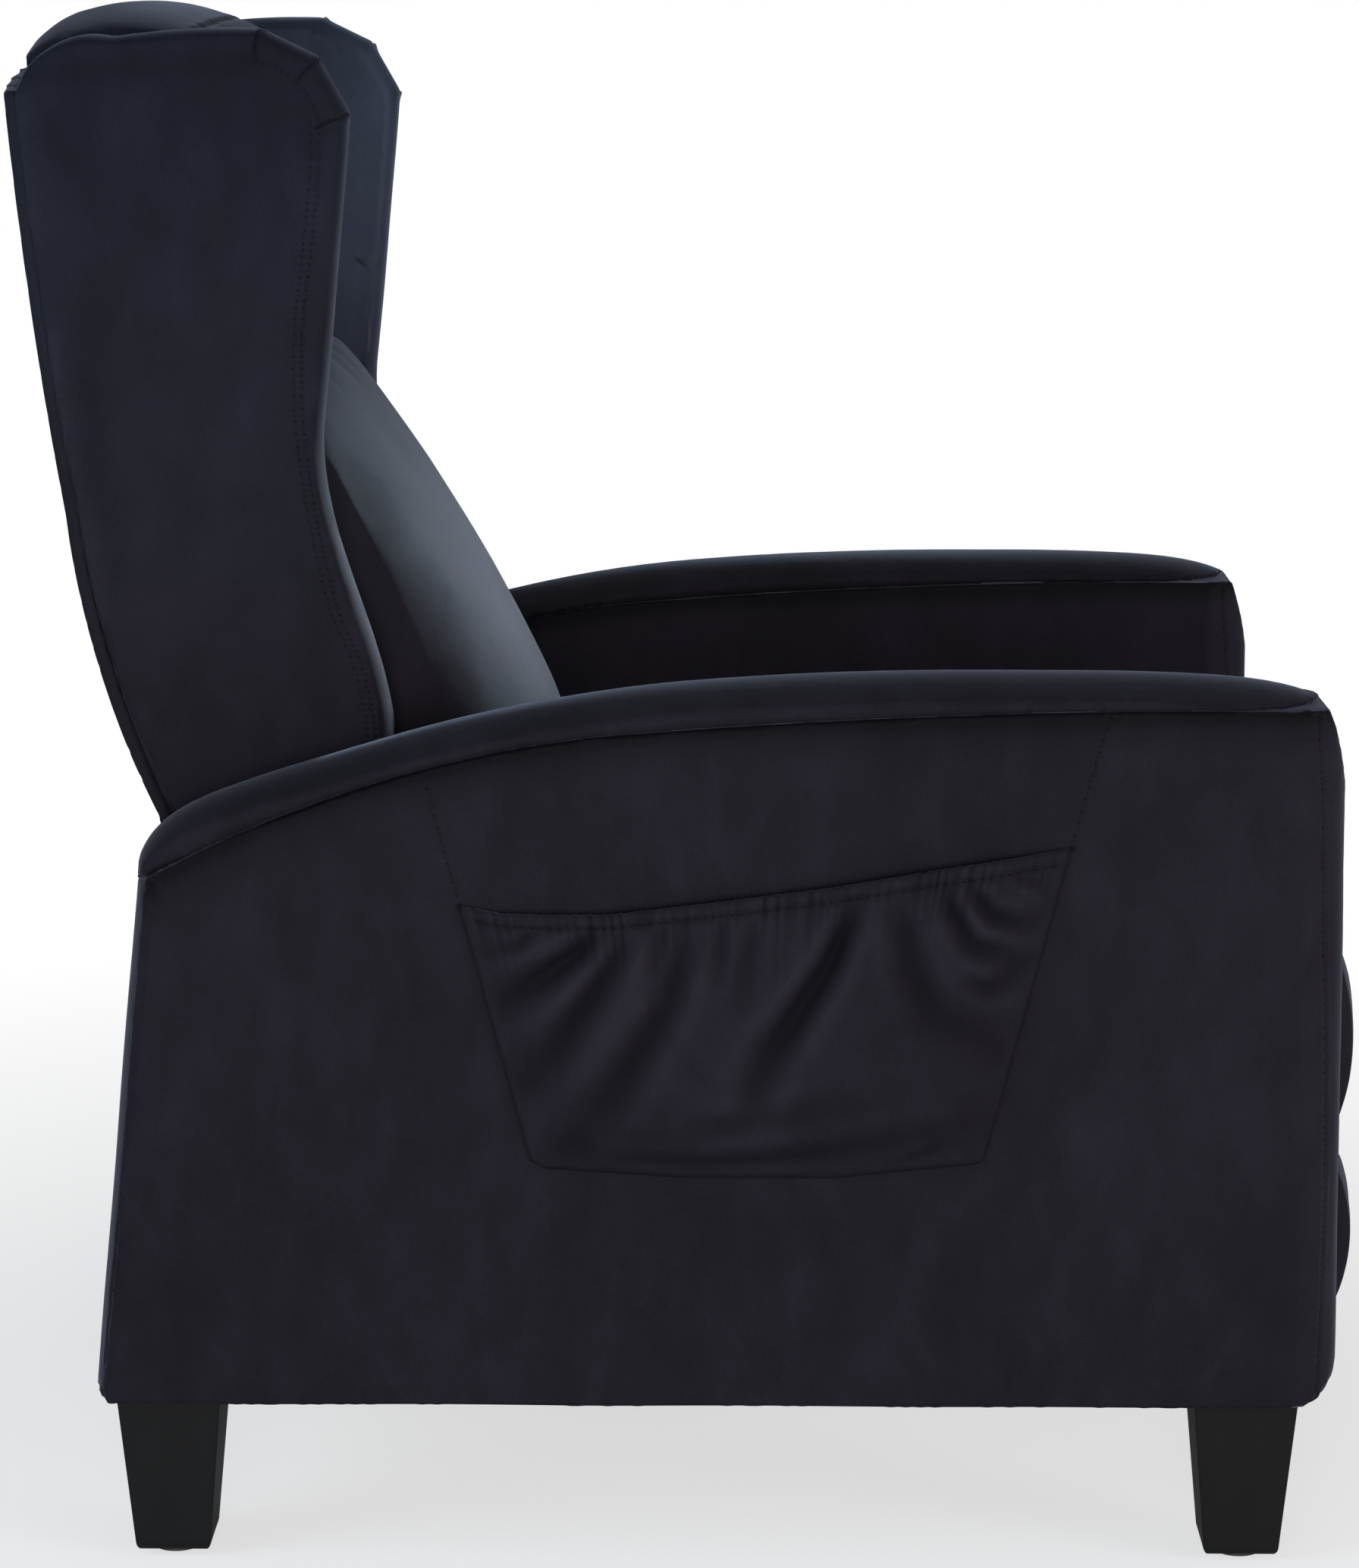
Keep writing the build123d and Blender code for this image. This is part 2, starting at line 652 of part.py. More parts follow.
def outside_back():
    """Padded panel behind the frame, swelling at the middle."""
    sections = []
    for x, _ in spread(back_half_width, 2):
        out, top_lift = back_swell(x)
        thick = back_panel
        rear = [moved(rear_bend, out * 0.4), moved(rear_low, out * 0.7), moved(rear_middle, out)]
        high = [moved(rear_high, out), moved(rear_top, out, top_lift)]
        inner_top = moved(rear_top, out - thick, top_lift)
        edges = [
            Line(rear_foot, rear[0]),
            ThreePointArc(rear[0], rear[1], rear[2]),
            ThreePointArc(rear[2], high[0], high[1]),
            Line(high[1], inner_top),
            ThreePointArc(inner_top, moved(high[0], -thick), moved(rear[2], -thick)),
            ThreePointArc(moved(rear[2], -thick), moved(rear[1], -thick), moved(rear[0], -thick)),
            Line(moved(rear[0], -thick), moved(rear_foot, -thick)),
            Line(moved(rear_foot, -thick), rear_foot),
        ]
        sections.append(side(x) * make_face(edges))
    return loft(sections)


wing_centre = (325.0, 750.0)


def wing_outline(shrink_y, shrink_z):
    """Side view of a wing, drawn in towards its middle by two shares."""
    def at(y, z):
        cy, cz = wing_centre
        return (cy + (y - cy) * (1 - shrink_y), cz + (z - cz) * (1 - shrink_z))

    gap = back_panel - wing_rear_press
    crown, pleat, corner = at(283, 1026.5), at(246, 1008.5), at(225, 971)
    waist, belly, lobe = at(243.8, 775), at(212.6, 614), at(200.8, 566)
    keel, heel = at(250, 478), at(352 - gap, 488)
    rear_knee, rear_peak = at(rear_middle[0] - gap, rear_middle[1]), at(rear_top[0] - gap, rear_top[1])
    return make_face(
        [
            Line(crown, pleat),
            Line(pleat, corner),
            ThreePointArc(corner, at(233, 880), waist),
            Spline(waist, at(237, 691), belly, lobe),
            ThreePointArc(lobe, at(210, 518), keel),
            ThreePointArc(keel, at(300, 466), heel),
            ThreePointArc(heel, at(394 - gap, 592), rear_knee),
            ThreePointArc(rear_knee, at(rear_high[0] - gap, rear_high[1]), rear_peak),
            ThreePointArc(rear_peak, at(425, 1012), at(381, 1021)),
            ThreePointArc(at(381, 1021), at(330, 1026), crown),
        ]
    )


bracket_top = (322.0, 560.0)
bracket_screws = [(300.0, 490.0), (316.0, 540.0)]
board_inner = back_half_width - wing_foam_out - wing_board


def wing_frame():
    """Plywood side of the back: it fills the wing and reaches down to the bracket."""
    sketch = wing_outline(0.15, 0.06)
    sketch += Polygon((256, 384), (315, 384), (325, 420), (345, 505), (300, 560), (262, 470), align=None)
    sketch -= Pos(*back_pin) * Circle(rivet_head_radius + 4)
    for p in bracket_screws:
        sketch -= Pos(*p) * Circle(2.55)
    return prism(sketch, board_inner, board_inner + wing_board)


def back_bracket():
    return bar(
        bracket_inner,
        [back_pin, (292.0, 470.0), bracket_top],
        [(back_pin, turning)] + [(p, 2.6) for p in bracket_screws],
        radius=13,
    )


def back_screw(p):
    tip = board_inner + 2
    return peg(p, tip, bracket_inner + steel, 2.5) + peg(p, bracket_inner + steel, bracket_inner + steel + 2, 5)


def strap_line(z, clear=0.0):
    """Front face of the back straps at a height."""
    return 300.0 + (z - 447.0) * 0.1967 - clear


def wing():
    """Padded wing, crowned over its plywood, with a slot for the bracket and room for the rails."""
    inner = back_half_width - wing_thickness
    stations = [
        (inner, 0.07, 0.022), (inner + 9, 0.018, 0.006), (inner + wing_thickness / 2, 0.0, 0.0),
        (back_half_width - 9, 0.018, 0.006), (back_half_width, 0.07, 0.022),
    ]
    pad = loft([side(x) * wing_outline(sy, sz) for x, sy, sz in stations])
    board_room = prism(wing_outline(0.147, 0.059), board_inner - seam_gap, board_inner + wing_board + seam_gap)
    foot_outline = Polygon((255, 383), (345, 383), (362, 521), (300, 562), (255, 471), align=None)
    foot_room = prism(foot_outline, board_inner - seam_gap, board_inner + wing_board + seam_gap)
    bracket_room = bar(bracket_inner - 0.4, [back_pin, (292.0, 470.0), bracket_top], [], radius=13.4)
    bracket_room = bracket_room + Pos(2.8, 0, 0) * bracket_room
    rail_outline = Polygon((strap_line(440), 440), (460, 440), (480, 990), (strap_line(990), 990), align=None)
    rail_zone = prism(rail_outline, inner - 1, board_inner)
    return (pad - board_room - foot_room - bracket_room - rail_zone).solids().sort_by(SortBy.VOLUME)[-1]


def back_rail(low, high):
    """Wooden rail between the plywood sides, its face in line with the straps."""
    front = strap_thick + 0.05
    outline = Polygon(
        (strap_line(low) + front, low), (strap_line(low) + back_rail_thick, low),
        (strap_line(high) + back_rail_thick, high), (strap_line(high) + front, high),
        align=None,
    )
    return prism(outline, -board_inner + 0.2, board_inner - 0.2)


def back_strap(x):
    foot, head = bottom_rail[0] + 6, top_rail[1] - 6
    outline = Polygon(
        (strap_line(foot), foot), (strap_line(foot) + strap_thick, foot),
        (strap_line(head) + strap_thick, head), (strap_line(head), head),
        align=None,
    )
    return prism(outline, x - strap_width / 2, x + strap_width / 2)


def back_cushion(outline):
    return loft([side(x) * make_face(outline(x, draw)) for x, draw in spread(cushion_half_width, 2.5)])


def on_straps(z):
    return (strap_line(z, seam_gap), z)


def lumbar_outline(x, draw):
    """Deep lower cushion: it slopes forward to a full belly over the seat."""
    base = lumbar_base - 12 * draw
    back_low = on_straps(base)
    back_high = on_straps(795.0 - 6 * draw)
    neck = (262.0 + 18 * draw, 800.0 - 12 * draw)
    belly = (92.0 + 66 * draw, 525.0)
    toe = (116.0 + 60 * draw, base)
    return [
        Line(back_low, back_high),
        ThreePointArc(back_high, ((back_high[0] + neck[0]) / 2, 801.0 - 10 * draw), neck),
        ThreePointArc(neck, (161.0 + 50 * draw, 659.0), belly),
        ThreePointArc(belly, (87.0 + 66 * draw, 490.0), toe),
        Line(toe, back_low),
    ]


def head_outline(x, draw):
    """Upper cushion: it rolls over the top rail and the outside back's top edge."""
    out, top_lift = back_swell(x)
    back_low = on_straps(806.0 + 4 * draw)
    rail_front = on_straps(top_rail[1] + 3)
    rail_rear = (442.0, top_rail[1] + 6)
    ledge_inner = moved(rear_top, out - back_panel - 1.0, top_lift + 2 * seam_gap)
    ledge_outer = moved(rear_top, out - 3.0, top_lift + 2 * seam_gap)
    nape = (422.0 - 6 * draw, 1036.5 - 19 * draw)
    brow = (318.0, 1024.0 - 12 * draw)
    chin = (278.0 + 8 * draw, 806.0 + 8 * draw)
    return [
        Line(back_low, rail_front),
        Line(rail_front, rail_rear),
        Line(rail_rear, ledge_inner),
        Line(ledge_inner, ledge_outer),
        ThreePointArc(ledge_outer, (453.0 - 9 * draw, 1020.0 - 14 * draw), nape),
        ThreePointArc(nape, (380.0, 1041.5 - 19 * draw), brow),
        ThreePointArc(brow, (262.0 + 14 * draw, 905.0), chin),
        ThreePointArc(chin, ((chin[0] + back_low[0]) / 2, 802.0 + 8 * draw), back_low),
    ]


save("outside_back", outside_back())
save_pair("wing_frame", wing_frame())
save_pair("back_bracket", back_bracket())
save("bracket_screws", both([back_screw(p) for p in bracket_screws]))
save_pair("wing", wing())
save("back_bottom_rail", back_rail(*bottom_rail))
save("back_top_rail", back_rail(*top_rail))
save("back_straps", Compound(children=[back_strap(x) for x in strap_places]))
save("lumbar_cushion", back_cushion(lumbar_outline))
save("head_cushion", back_cushion(head_outline))
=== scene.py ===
# Wingback recliner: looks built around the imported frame. Metres, +Z up, the chair faces -Y.
import json
from math import cos, hypot, pi, radians, sin

import bmesh
import bpy
import numpy as np
from mathutils import Matrix, Vector, noise
from mathutils.bvhtree import BVHTree
from mathutils.kdtree import KDTree


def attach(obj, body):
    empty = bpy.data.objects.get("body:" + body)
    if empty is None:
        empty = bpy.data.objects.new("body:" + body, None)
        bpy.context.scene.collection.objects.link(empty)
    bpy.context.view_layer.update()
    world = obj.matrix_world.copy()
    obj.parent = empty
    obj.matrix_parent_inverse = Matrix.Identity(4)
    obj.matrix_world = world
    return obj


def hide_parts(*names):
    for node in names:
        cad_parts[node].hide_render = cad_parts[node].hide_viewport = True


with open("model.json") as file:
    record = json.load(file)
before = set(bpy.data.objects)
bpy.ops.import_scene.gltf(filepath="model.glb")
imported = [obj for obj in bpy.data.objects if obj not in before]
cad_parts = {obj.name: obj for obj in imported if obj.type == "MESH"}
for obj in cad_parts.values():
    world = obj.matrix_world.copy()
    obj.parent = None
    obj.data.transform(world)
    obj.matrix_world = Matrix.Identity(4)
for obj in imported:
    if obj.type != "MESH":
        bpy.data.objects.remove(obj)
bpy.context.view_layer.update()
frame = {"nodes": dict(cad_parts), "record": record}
scene = bpy.context.scene
scene.view_settings.view_transform = "Standard"
print("frame loaded:", len(frame["nodes"]), "nodes")

# camera
cameraLook = {"place": (-3.17, -0.034, 1.08), "down": 10.8, "turn": 0.78, "lens": 100.97}


def aimed(obj, place, direction):
    obj.location = place
    obj.rotation_mode = "QUATERNION"
    obj.rotation_quaternion = Vector(direction).to_track_quat("-Z", "Y")
    scene.collection.objects.link(obj)


down, turn = radians(cameraLook["down"]), radians(cameraLook["turn"])
cameraData = bpy.data.cameras.new("photoCamera")
cameraData.lens = cameraLook["lens"]
cameraData.clip_end = 300
camera = bpy.data.objects.new("photoCamera", cameraData)
aimed(camera, cameraLook["place"], (cos(down) * cos(turn), cos(down) * sin(turn), -sin(down)))
scene.camera = camera

# light and floor
lamps = {
    "overhead": {"place": (-1.0, -0.5, 3.0), "aim": (0, 0, 0.6), "size": 1.8, "watts": 10,
                 "colour": (0.86, 0.93, 1.0), "spread": 180},
    "front": {"place": (0.3, -3.2, 1.0), "aim": (0, 0, 0.5), "size": 1.4, "watts": 6,
              "colour": (0.95, 0.97, 1.0), "spread": 180},
    "frontSide": {"place": (-1.9, -3.0, 0.75), "aim": (0, 0, 0.5), "size": 1.1, "watts": 40,
                  "colour": (1.0, 0.97, 1.0), "spread": 180},
    "cameraSide": {"place": (-4.6, 0.2, 0.95), "aim": (0, 0, 0.5), "size": 1.6, "watts": 86,
                   "colour": (1.0, 0.97, 0.98), "spread": 180},
    "rearSide": {"place": (-1.8, 3.0, 1.9), "aim": (0, 0.3, 0.8), "size": 1.8, "watts": 50,
                 "colour": (0.62, 0.84, 1.0), "spread": 180},
    "lumbarBeam": {"place": (2.9, -2.0, 1.5), "aim": (0.02, 0.04, 0.66), "size": 0.3, "watts": 0.46,
                   "colour": (0.72, 0.85, 1.0), "spread": 8},
    "farWingBeam": {"place": (-2.5, -1.4, 1.6), "aim": (0.2, 0.22, 0.93), "size": 0.2, "watts": 0.6,
                    "colour": (0.80, 0.92, 1.0), "spread": 8},
}
for lampName, lamp in lamps.items():
    lampData = bpy.data.lights.new(lampName, "AREA")
    lampData.size = lamp["size"]
    lampData.energy = lamp["watts"]
    lampData.color = lamp["colour"]
    lampData.spread = radians(lamp["spread"])
    lampObject = bpy.data.objects.new(lampName, lampData)
    aimed(lampObject, lamp["place"], Vector(lamp["aim"]) - Vector(lamp["place"]))

backdrop = {"ambient": 0.16, "floorWhite": 0.9, "shadowShare": 0.35, "shadowReach": 1.6}


def nodeMaterial(name):
    mat = bpy.data.materials.new(name)
    mat.use_nodes = True
    tree = mat.node_tree
    tree.nodes.clear()
    return mat, tree


def add(tree, kind, values=None, **settings):
    node = tree.nodes.new(kind)
    for key, value in settings.items():
        setattr(node, key, value)
    for key, value in (values or {}).items():
        node.inputs[key].default_value = value
    return node


def join(tree, source, target):
    tree.links.new(source, target)


world = bpy.data.worlds.new("studio")
scene.world = world
world.use_nodes = True
tree = world.node_tree
tree.nodes.clear()
rays = add(tree, "ShaderNodeLightPath")
ambient = add(tree, "ShaderNodeBackground", {"Color": (1, 1, 1, 1), "Strength": backdrop["ambient"]})
white = add(tree, "ShaderNodeBackground", {"Color": (1, 1, 1, 1), "Strength": 1.0})
pick = add(tree, "ShaderNodeMixShader")
out = add(tree, "ShaderNodeOutputWorld")
join(tree, rays.outputs["Is Camera Ray"], pick.inputs[0])
join(tree, ambient.outputs[0], pick.inputs[1])
join(tree, white.outputs[0], pick.inputs[2])
join(tree, pick.outputs[0], out.inputs["Surface"])

floorMaterial, tree = nodeMaterial("paleFloor")
place = add(tree, "ShaderNodeTexCoord")
far = add(tree, "ShaderNodeVectorMath", operation="LENGTH")
fade = add(tree, "ShaderNodeMapRange", {"From Min": 0.5, "From Max": backdrop["shadowReach"],
                                        "To Min": 1 - backdrop["shadowShare"], "To Max": 1.0})
rays = add(tree, "ShaderNodeLightPath")
lit = add(tree, "ShaderNodeMath", operation="MULTIPLY")
matte = add(tree, "ShaderNodeBsdfDiffuse", {"Color": (backdrop["floorWhite"],) * 3 + (1,)})
glow = add(tree, "ShaderNodeEmission", {"Color": (1, 1, 1, 1), "Strength": 1.0})
pick = add(tree, "ShaderNodeMixShader")
out = add(tree, "ShaderNodeOutputMaterial")
join(tree, place.outputs["Object"], far.inputs[0])
join(tree, far.outputs["Value"], fade.inputs["Value"])
join(tree, fade.outputs["Result"], lit.inputs[0])
join(tree, rays.outputs["Is Camera Ray"], lit.inputs[1])
join(tree, lit.outputs[0], pick.inputs[0])
join(tree, matte.outputs[0], pick.inputs[1])
join(tree, glow.outputs[0], pick.inputs[2])
join(tree, pick.outputs[0], out.inputs["Surface"])


def newObject(name, bm):
    mesh = bpy.data.meshes.new(name)
    bm.to_mesh(mesh)
    bm.free()
    obj = bpy.data.objects.new(name, mesh)
    scene.collection.objects.link(obj)
    return obj


bm = bmesh.new()
bmesh.ops.create_grid(bm, x_segments=1, y_segments=1, size=60)
floor = newObject("floor", bm)
floor.location.z = -0.0005
floor.data.materials.append(floorMaterial)
print("camera, light and floor ready")

# finishes


def principled(tree, values):
    shader = add(tree, "ShaderNodeBsdfPrincipled", values)
    out = add(tree, "ShaderNodeOutputMaterial")
    join(tree, shader.outputs["BSDF"], out.inputs["Surface"])
    return shader


def stretched(tree, scale):
    place = add(tree, "ShaderNodeTexCoord")
    mapping = add(tree, "ShaderNodeMapping", {"Scale": scale})
    join(tree, place.outputs["Object"], mapping.inputs["Vector"])
    return mapping.outputs["Vector"]


def cloud(tree, vector, scale, detail=3.0, roughness=0.55, distortion=0.0):
    noise = add(tree, "ShaderNodeTexNoise", {"Scale": scale, "Detail": detail, "Roughness": roughness,
                                             "Distortion": distortion})
    join(tree, vector, noise.inputs["Vector"])
    return noise.outputs["Fac"]


def ramp(tree, source, stops):
    node = add(tree, "ShaderNodeValToRGB")
    elements = node.color_ramp.elements
    while len(elements) < len(stops):
        elements.new(0.5)
    for element, (at, colour) in zip(elements, stops):
        element.position = at
        element.color = (*colour, 1)
    join(tree, source, node.inputs["Fac"])
    return node.outputs["Color"]


def mixed(tree, factor, first, second, blend="MIX"):
    node = add(tree, "ShaderNodeMix", data_type="RGBA", blend_type=blend)
    node.inputs[0].default_value = factor if isinstance(factor, float) else 0.5
    if not isinstance(factor, float):
        join(tree, factor, node.inputs[0])
    join(tree, first, node.inputs[6])
    join(tree, second, node.inputs[7])
    return node.outputs[2]


def bumped(tree, shader, source, strength, distance, under=None):
    bump = add(tree, "ShaderNodeBump", {"Strength": strength, "Distance": distance})
    join(tree, source, bump.inputs["Height"])
    if under:
        join(tree, under.outputs["Normal"], bump.inputs["Normal"])
    join(tree, bump.outputs["Normal"], shader.inputs["Normal"])
    return bump


velvetLook = {
    "dark": (0.0072, 0.0068, 0.0105), "middle": (0.0135, 0.0128, 0.0195), "light": (0.021, 0.0198, 0.0300),
    "sheen": 0.20, "sheenTint": (0.60, 0.66, 0.86), "sheenRough": 0.30, "rough": 0.72, "gloss": 0.08,
    "broad": 9, "patch": 34, "nap": 620, "napShare": 0.25,
    # painted light: the heights between which the colour is tinted, then the tints low down, above the arms
    # and at the top
    "paintedTintFrom": 0.56, "paintedTintTo": 1.04,
    "low": (0.92, 0.83, 0.82), "high": (0.86, 1.0, 1.0), "top": (0.62, 0.76, 0.86),
    # painted shade, even tone and painted highlight, which the painted light attribute multiplies into the
    # colour
    "valley": (0.10, 0.10, 0.10), "even": (0.5, 0.5, 0.5), "paintedHighlight": (1.0, 1.0, 1.0),
}


def makeVelvet(name, drift=(1.0, 1.0, 0.55), crush=0.35, withPaintedLight=False):
    # crush is the share of small patches in the nap; velvet with painted light also reads an attribute of
    # painted shade and painted highlight
    mat, tree = nodeMaterial(name)
    look = velvetLook
    shader = principled(tree, {
        "Roughness": look["rough"], "Specular IOR Level": look["gloss"], "Sheen Weight": look["sheen"],
        "Sheen Roughness": look["sheenRough"], "Sheen Tint": (*look["sheenTint"], 1),
    })
    vector = stretched(tree, drift)
    broad = cloud(tree, vector, look["broad"], 4, 0.6, 0.6)
    patch = cloud(tree, vector, look["patch"], 3, 0.55, 0.3)
    nap = cloud(tree, vector, look["nap"], 2, 0.6)
    broadColour = ramp(tree, broad, [(0.28, look["dark"]), (0.52, look["middle"]), (0.78, look["light"])])
    patchColour = ramp(tree, patch, [(0.35, look["dark"]), (0.60, look["middle"]), (0.8, look["light"])])
    napColour = ramp(tree, nap, [(0.3, look["dark"]), (0.7, look["light"])])
    colour = mixed(tree, crush, broadColour, patchColour)
    colour = mixed(tree, look["napShare"], colour, napColour)
    # painted light: the colour is tinted by height, warmer and darker low down, bluish above the arms and
    # darker towards the top
    place = add(tree, "ShaderNodeTexCoord")
    parts = add(tree, "ShaderNodeSeparateXYZ")
    join(tree, place.outputs["Object"], parts.inputs[0])
    height = add(tree, "ShaderNodeMapRange", {"From Min": look["paintedTintFrom"], "From Max": look["paintedTintTo"]})
    join(tree, parts.outputs["Z"], height.inputs["Value"])
    paintedLightTint = ramp(tree, height.outputs["Result"], [(0.0, look["low"]), (0.6, look["high"]), (1.0, look["top"])])
    colour = mixed(tree, 1.0, colour, paintedLightTint, "MULTIPLY")
    # painted light: an attribute darkens the colour where shade falls and lightens it where light catches an
    # edge
    if withPaintedLight:
        paintedLight = add(tree, "ShaderNodeAttribute", attribute_name="paintedLight")
        stops = [(0.0, look["valley"]), (0.5, look["even"]), (1.0, look["paintedHighlight"])]
        lit = ramp(tree, paintedLight.outputs["Fac"], stops)
        colour = mixed(tree, 1.0, colour, lit, "MULTIPLY")
        double = add(tree, "ShaderNodeVectorMath", {1: (2, 2, 2)}, operation="MULTIPLY")
        join(tree, colour, double.inputs[0])
        colour = double.outputs["Vector"]
    join(tree, colour, shader.inputs["Base Color"])
    bumped(tree, shader, nap, 0.35, 0.0005)
    return mat


def makeGrained(name, dark, light, scale, rough, bump=0.12, gloss=0.4):
    mat, tree = nodeMaterial(name)
    shader = principled(tree, {"Roughness": rough, "Specular IOR Level": gloss})
    vector = stretched(tree, scale)
    grain = cloud(tree, vector, 14, 6, 0.62, 1.2)
    fibre = cloud(tree, vector, 60, 4, 0.6)
    middle = tuple((a + b) / 2 for a, b in zip(dark, light))
    first = ramp(tree, grain, [(0.3, dark), (0.5, middle), (0.72, light)])
    second = ramp(tree, fibre, [(0.3, dark), (0.7, light)])
    join(tree, mixed(tree, 0.35, first, second), shader.inputs["Base Color"])
    bumped(tree, shader, fibre, bump, 0.0006)
    return mat


def makePlywood(name):
    mat, tree = nodeMaterial(name)
    shader = principled(tree, {"Roughness": 0.62, "Specular IOR Level": 0.35})
    vector = stretched(tree, (1, 1, 0.18))
    grain = cloud(tree, vector, 30, 6, 0.62, 1.5)
    face = ramp(tree, grain, [(0.3, (0.36, 0.23, 0.12)), (0.5, (0.50, 0.35, 0.20)),
                              (0.72, (0.62, 0.46, 0.29))])
    plies = add(tree, "ShaderNodeTexWave", {"Scale": 200.0, "Distortion": 0.4, "Detail": 1.0},
                wave_type="BANDS", bands_direction="X")
    place = add(tree, "ShaderNodeTexCoord")
    join(tree, place.outputs["Object"], plies.inputs["Vector"])
    layers = ramp(tree, plies.outputs["Fac"], [(0.3, (0.24, 0.14, 0.07)), (0.7, (0.58, 0.43, 0.27))])
    facing = add(tree, "ShaderNodeNewGeometry")
    parts = add(tree, "ShaderNodeSeparateXYZ")
    join(tree, facing.outputs["Normal"], parts.inputs[0])
    sideways = add(tree, "ShaderNodeMath", operation="ABSOLUTE")
    join(tree, parts.outputs["X"], sideways.inputs[0])
    flat = add(tree, "ShaderNodeMath", {1: 0.7}, operation="GREATER_THAN")
    join(tree, sideways.outputs[0], flat.inputs[0])
    join(tree, mixed(tree, flat.outputs[0], layers, face), shader.inputs["Base Color"])
    bumped(tree, shader, grain, 0.15, 0.0005)
    return mat


def makeSteel(name, colour, rough, metallic=1.0, coat=0.0):
    mat, tree = nodeMaterial(name)
    shader = principled(tree, {"Metallic": metallic, "Coat Weight": coat, "Coat Roughness": 0.35})
    vector = stretched(tree, (1, 1, 1))
    film = cloud(tree, vector, 38, 4, 0.6, 0.8)
    speck = cloud(tree, vector, 900, 2, 0.5)
    low = tuple(c * 0.72 for c in colour)
    high = tuple(min(1.0, c * 1.18) for c in colour)
    join(tree, ramp(tree, film, [(0.3, low), (0.5, colour), (0.75, high)]), shader.inputs["Base Color"])
    shade = add(tree, "ShaderNodeMapRange", {"To Min": rough * 0.8, "To Max": rough * 1.3})
    join(tree, film, shade.inputs["Value"])
    join(tree, shade.outputs["Result"], shader.inputs["Roughness"])
    bumped(tree, shader, speck, 0.08, 0.0002)
    return mat


def makeWebbing(name):
    mat, tree = nodeMaterial(name)
    shader = principled(tree, {"Roughness": 0.85, "Specular IOR Level": 0.25, "Sheen Weight": 0.15})
    place = add(tree, "ShaderNodeTexCoord")
    warp = add(tree, "ShaderNodeTexWave", {"Scale": 160.0, "Distortion": 0.2}, wave_type="BANDS",
               bands_direction="X")
    weft = add(tree, "ShaderNodeTexWave", {"Scale": 120.0, "Distortion": 0.3}, wave_type="BANDS",
               bands_direction="DIAGONAL")
    join(tree, place.outputs["Object"], warp.inputs["Vector"])
    join(tree, place.outputs["Object"], weft.inputs["Vector"])
    weave = add(tree, "ShaderNodeMath", operation="MULTIPLY")
    join(tree, warp.outputs["Fac"], weave.inputs[0])
    join(tree, weft.outputs["Fac"], weave.inputs[1])
    colour = ramp(tree, weave.outputs[0], [(0.1, (0.018, 0.018, 0.022)), (0.8, (0.085, 0.085, 0.10))])
    join(tree, colour, shader.inputs["Base Color"])
    bumped(tree, shader, weave.outputs[0], 0.5, 0.0006)
    return mat


def makeMoulded(name):
    mat, tree = nodeMaterial(name)
    shader = principled(tree, {"Specular IOR Level": 0.4})
    vector = stretched(tree, (1, 1, 1))
    grain = cloud(tree, vector, 1400, 3, 0.6)
    worn = cloud(tree, vector, 60, 4, 0.6)
    join(tree, ramp(tree, worn, [(0.3, (0.035, 0.035, 0.036)), (0.75, (0.065, 0.064, 0.062))]),
         shader.inputs["Base Color"])
    shade = add(tree, "ShaderNodeMapRange", {"To Min": 0.45, "To Max": 0.7})
    join(tree, worn, shade.inputs["Value"])
    join(tree, shade.outputs["Result"], shader.inputs["Roughness"])
    bumped(tree, shader, grain, 0.2, 0.0003)
    return mat


def makeThread(name):
    mat, tree = nodeMaterial(name)
    shader = principled(tree, {"Roughness": 0.8, "Specular IOR Level": 0.05})
    twist = cloud(tree, stretched(tree, (1, 1, 1)), 900, 2, 0.6)
    join(tree, ramp(tree, twist, [(0.3, (0.0016, 0.0016, 0.0022)), (0.7, (0.0050, 0.0050, 0.0070))]),
         shader.inputs["Base Color"])
    bumped(tree, shader, twist, 0.3, 0.0002)
    return mat


def makeCambric(name):
    mat, tree = nodeMaterial(name)
    shader = principled(tree, {"Roughness": 0.9, "Specular IOR Level": 0.15, "Sheen Weight": 0.1})
    fibre = cloud(tree, stretched(tree, (1, 1, 0.5)), 420, 4, 0.7, 0.8)
    join(tree, ramp(tree, fibre, [(0.35, (0.006, 0.006, 0.007)), (0.7, (0.020, 0.020, 0.022))]),
         shader.inputs["Base Color"])
    bumped(tree, shader, fibre, 0.3, 0.0004)
    return mat


finishes = {
    "velvet": makeVelvet("velvet"),
    "pocket_velvet": makeVelvet("pocketVelvet", (1.0, 1.0, 0.8), 0.3, True),
    "leg_wood": makeGrained("blackLacquer", (0.0028, 0.0028, 0.0028), (0.0060, 0.0060, 0.0058), (1, 1, 0.12),
                            0.5, 0.08, 0.2),
    "glide_plastic": makeMoulded("glidePlastic"),
    "plywood": makePlywood("barePlywood"),
    "rail_wood": makeGrained("sawnPine", (0.40, 0.26, 0.13), (0.66, 0.50, 0.31), (0.14, 1, 1), 0.7),
    "webbing": makeWebbing("elasticWebbing"),
    "zinc_steel": makeSteel("zincPlate", (0.50, 0.50, 0.48), 0.34),
    "black_steel": makeSteel("blackCoat", (0.020, 0.020, 0.022), 0.45, 0.0, 0.3),
}
paintedLightVelvet = makeVelvet("paintedLightVelvet", crush=0.5, withPaintedLight=True)
threadFinish = makeThread("navyThread")
cambric = makeCambric("blackCambric")
wrapped = ("footrest_board", "wing_frame_left", "wing_frame_right", "back_bottom_rail")
for info in frame["record"]["subparts"]:
    finish = cambric if info["node"] in wrapped else finishes[info["material_slot"]]
    for nodeSlot in frame["nodes"][info["node"]].material_slots:
        nodeSlot.material = finish
print("finishes ready:", len(finishes))

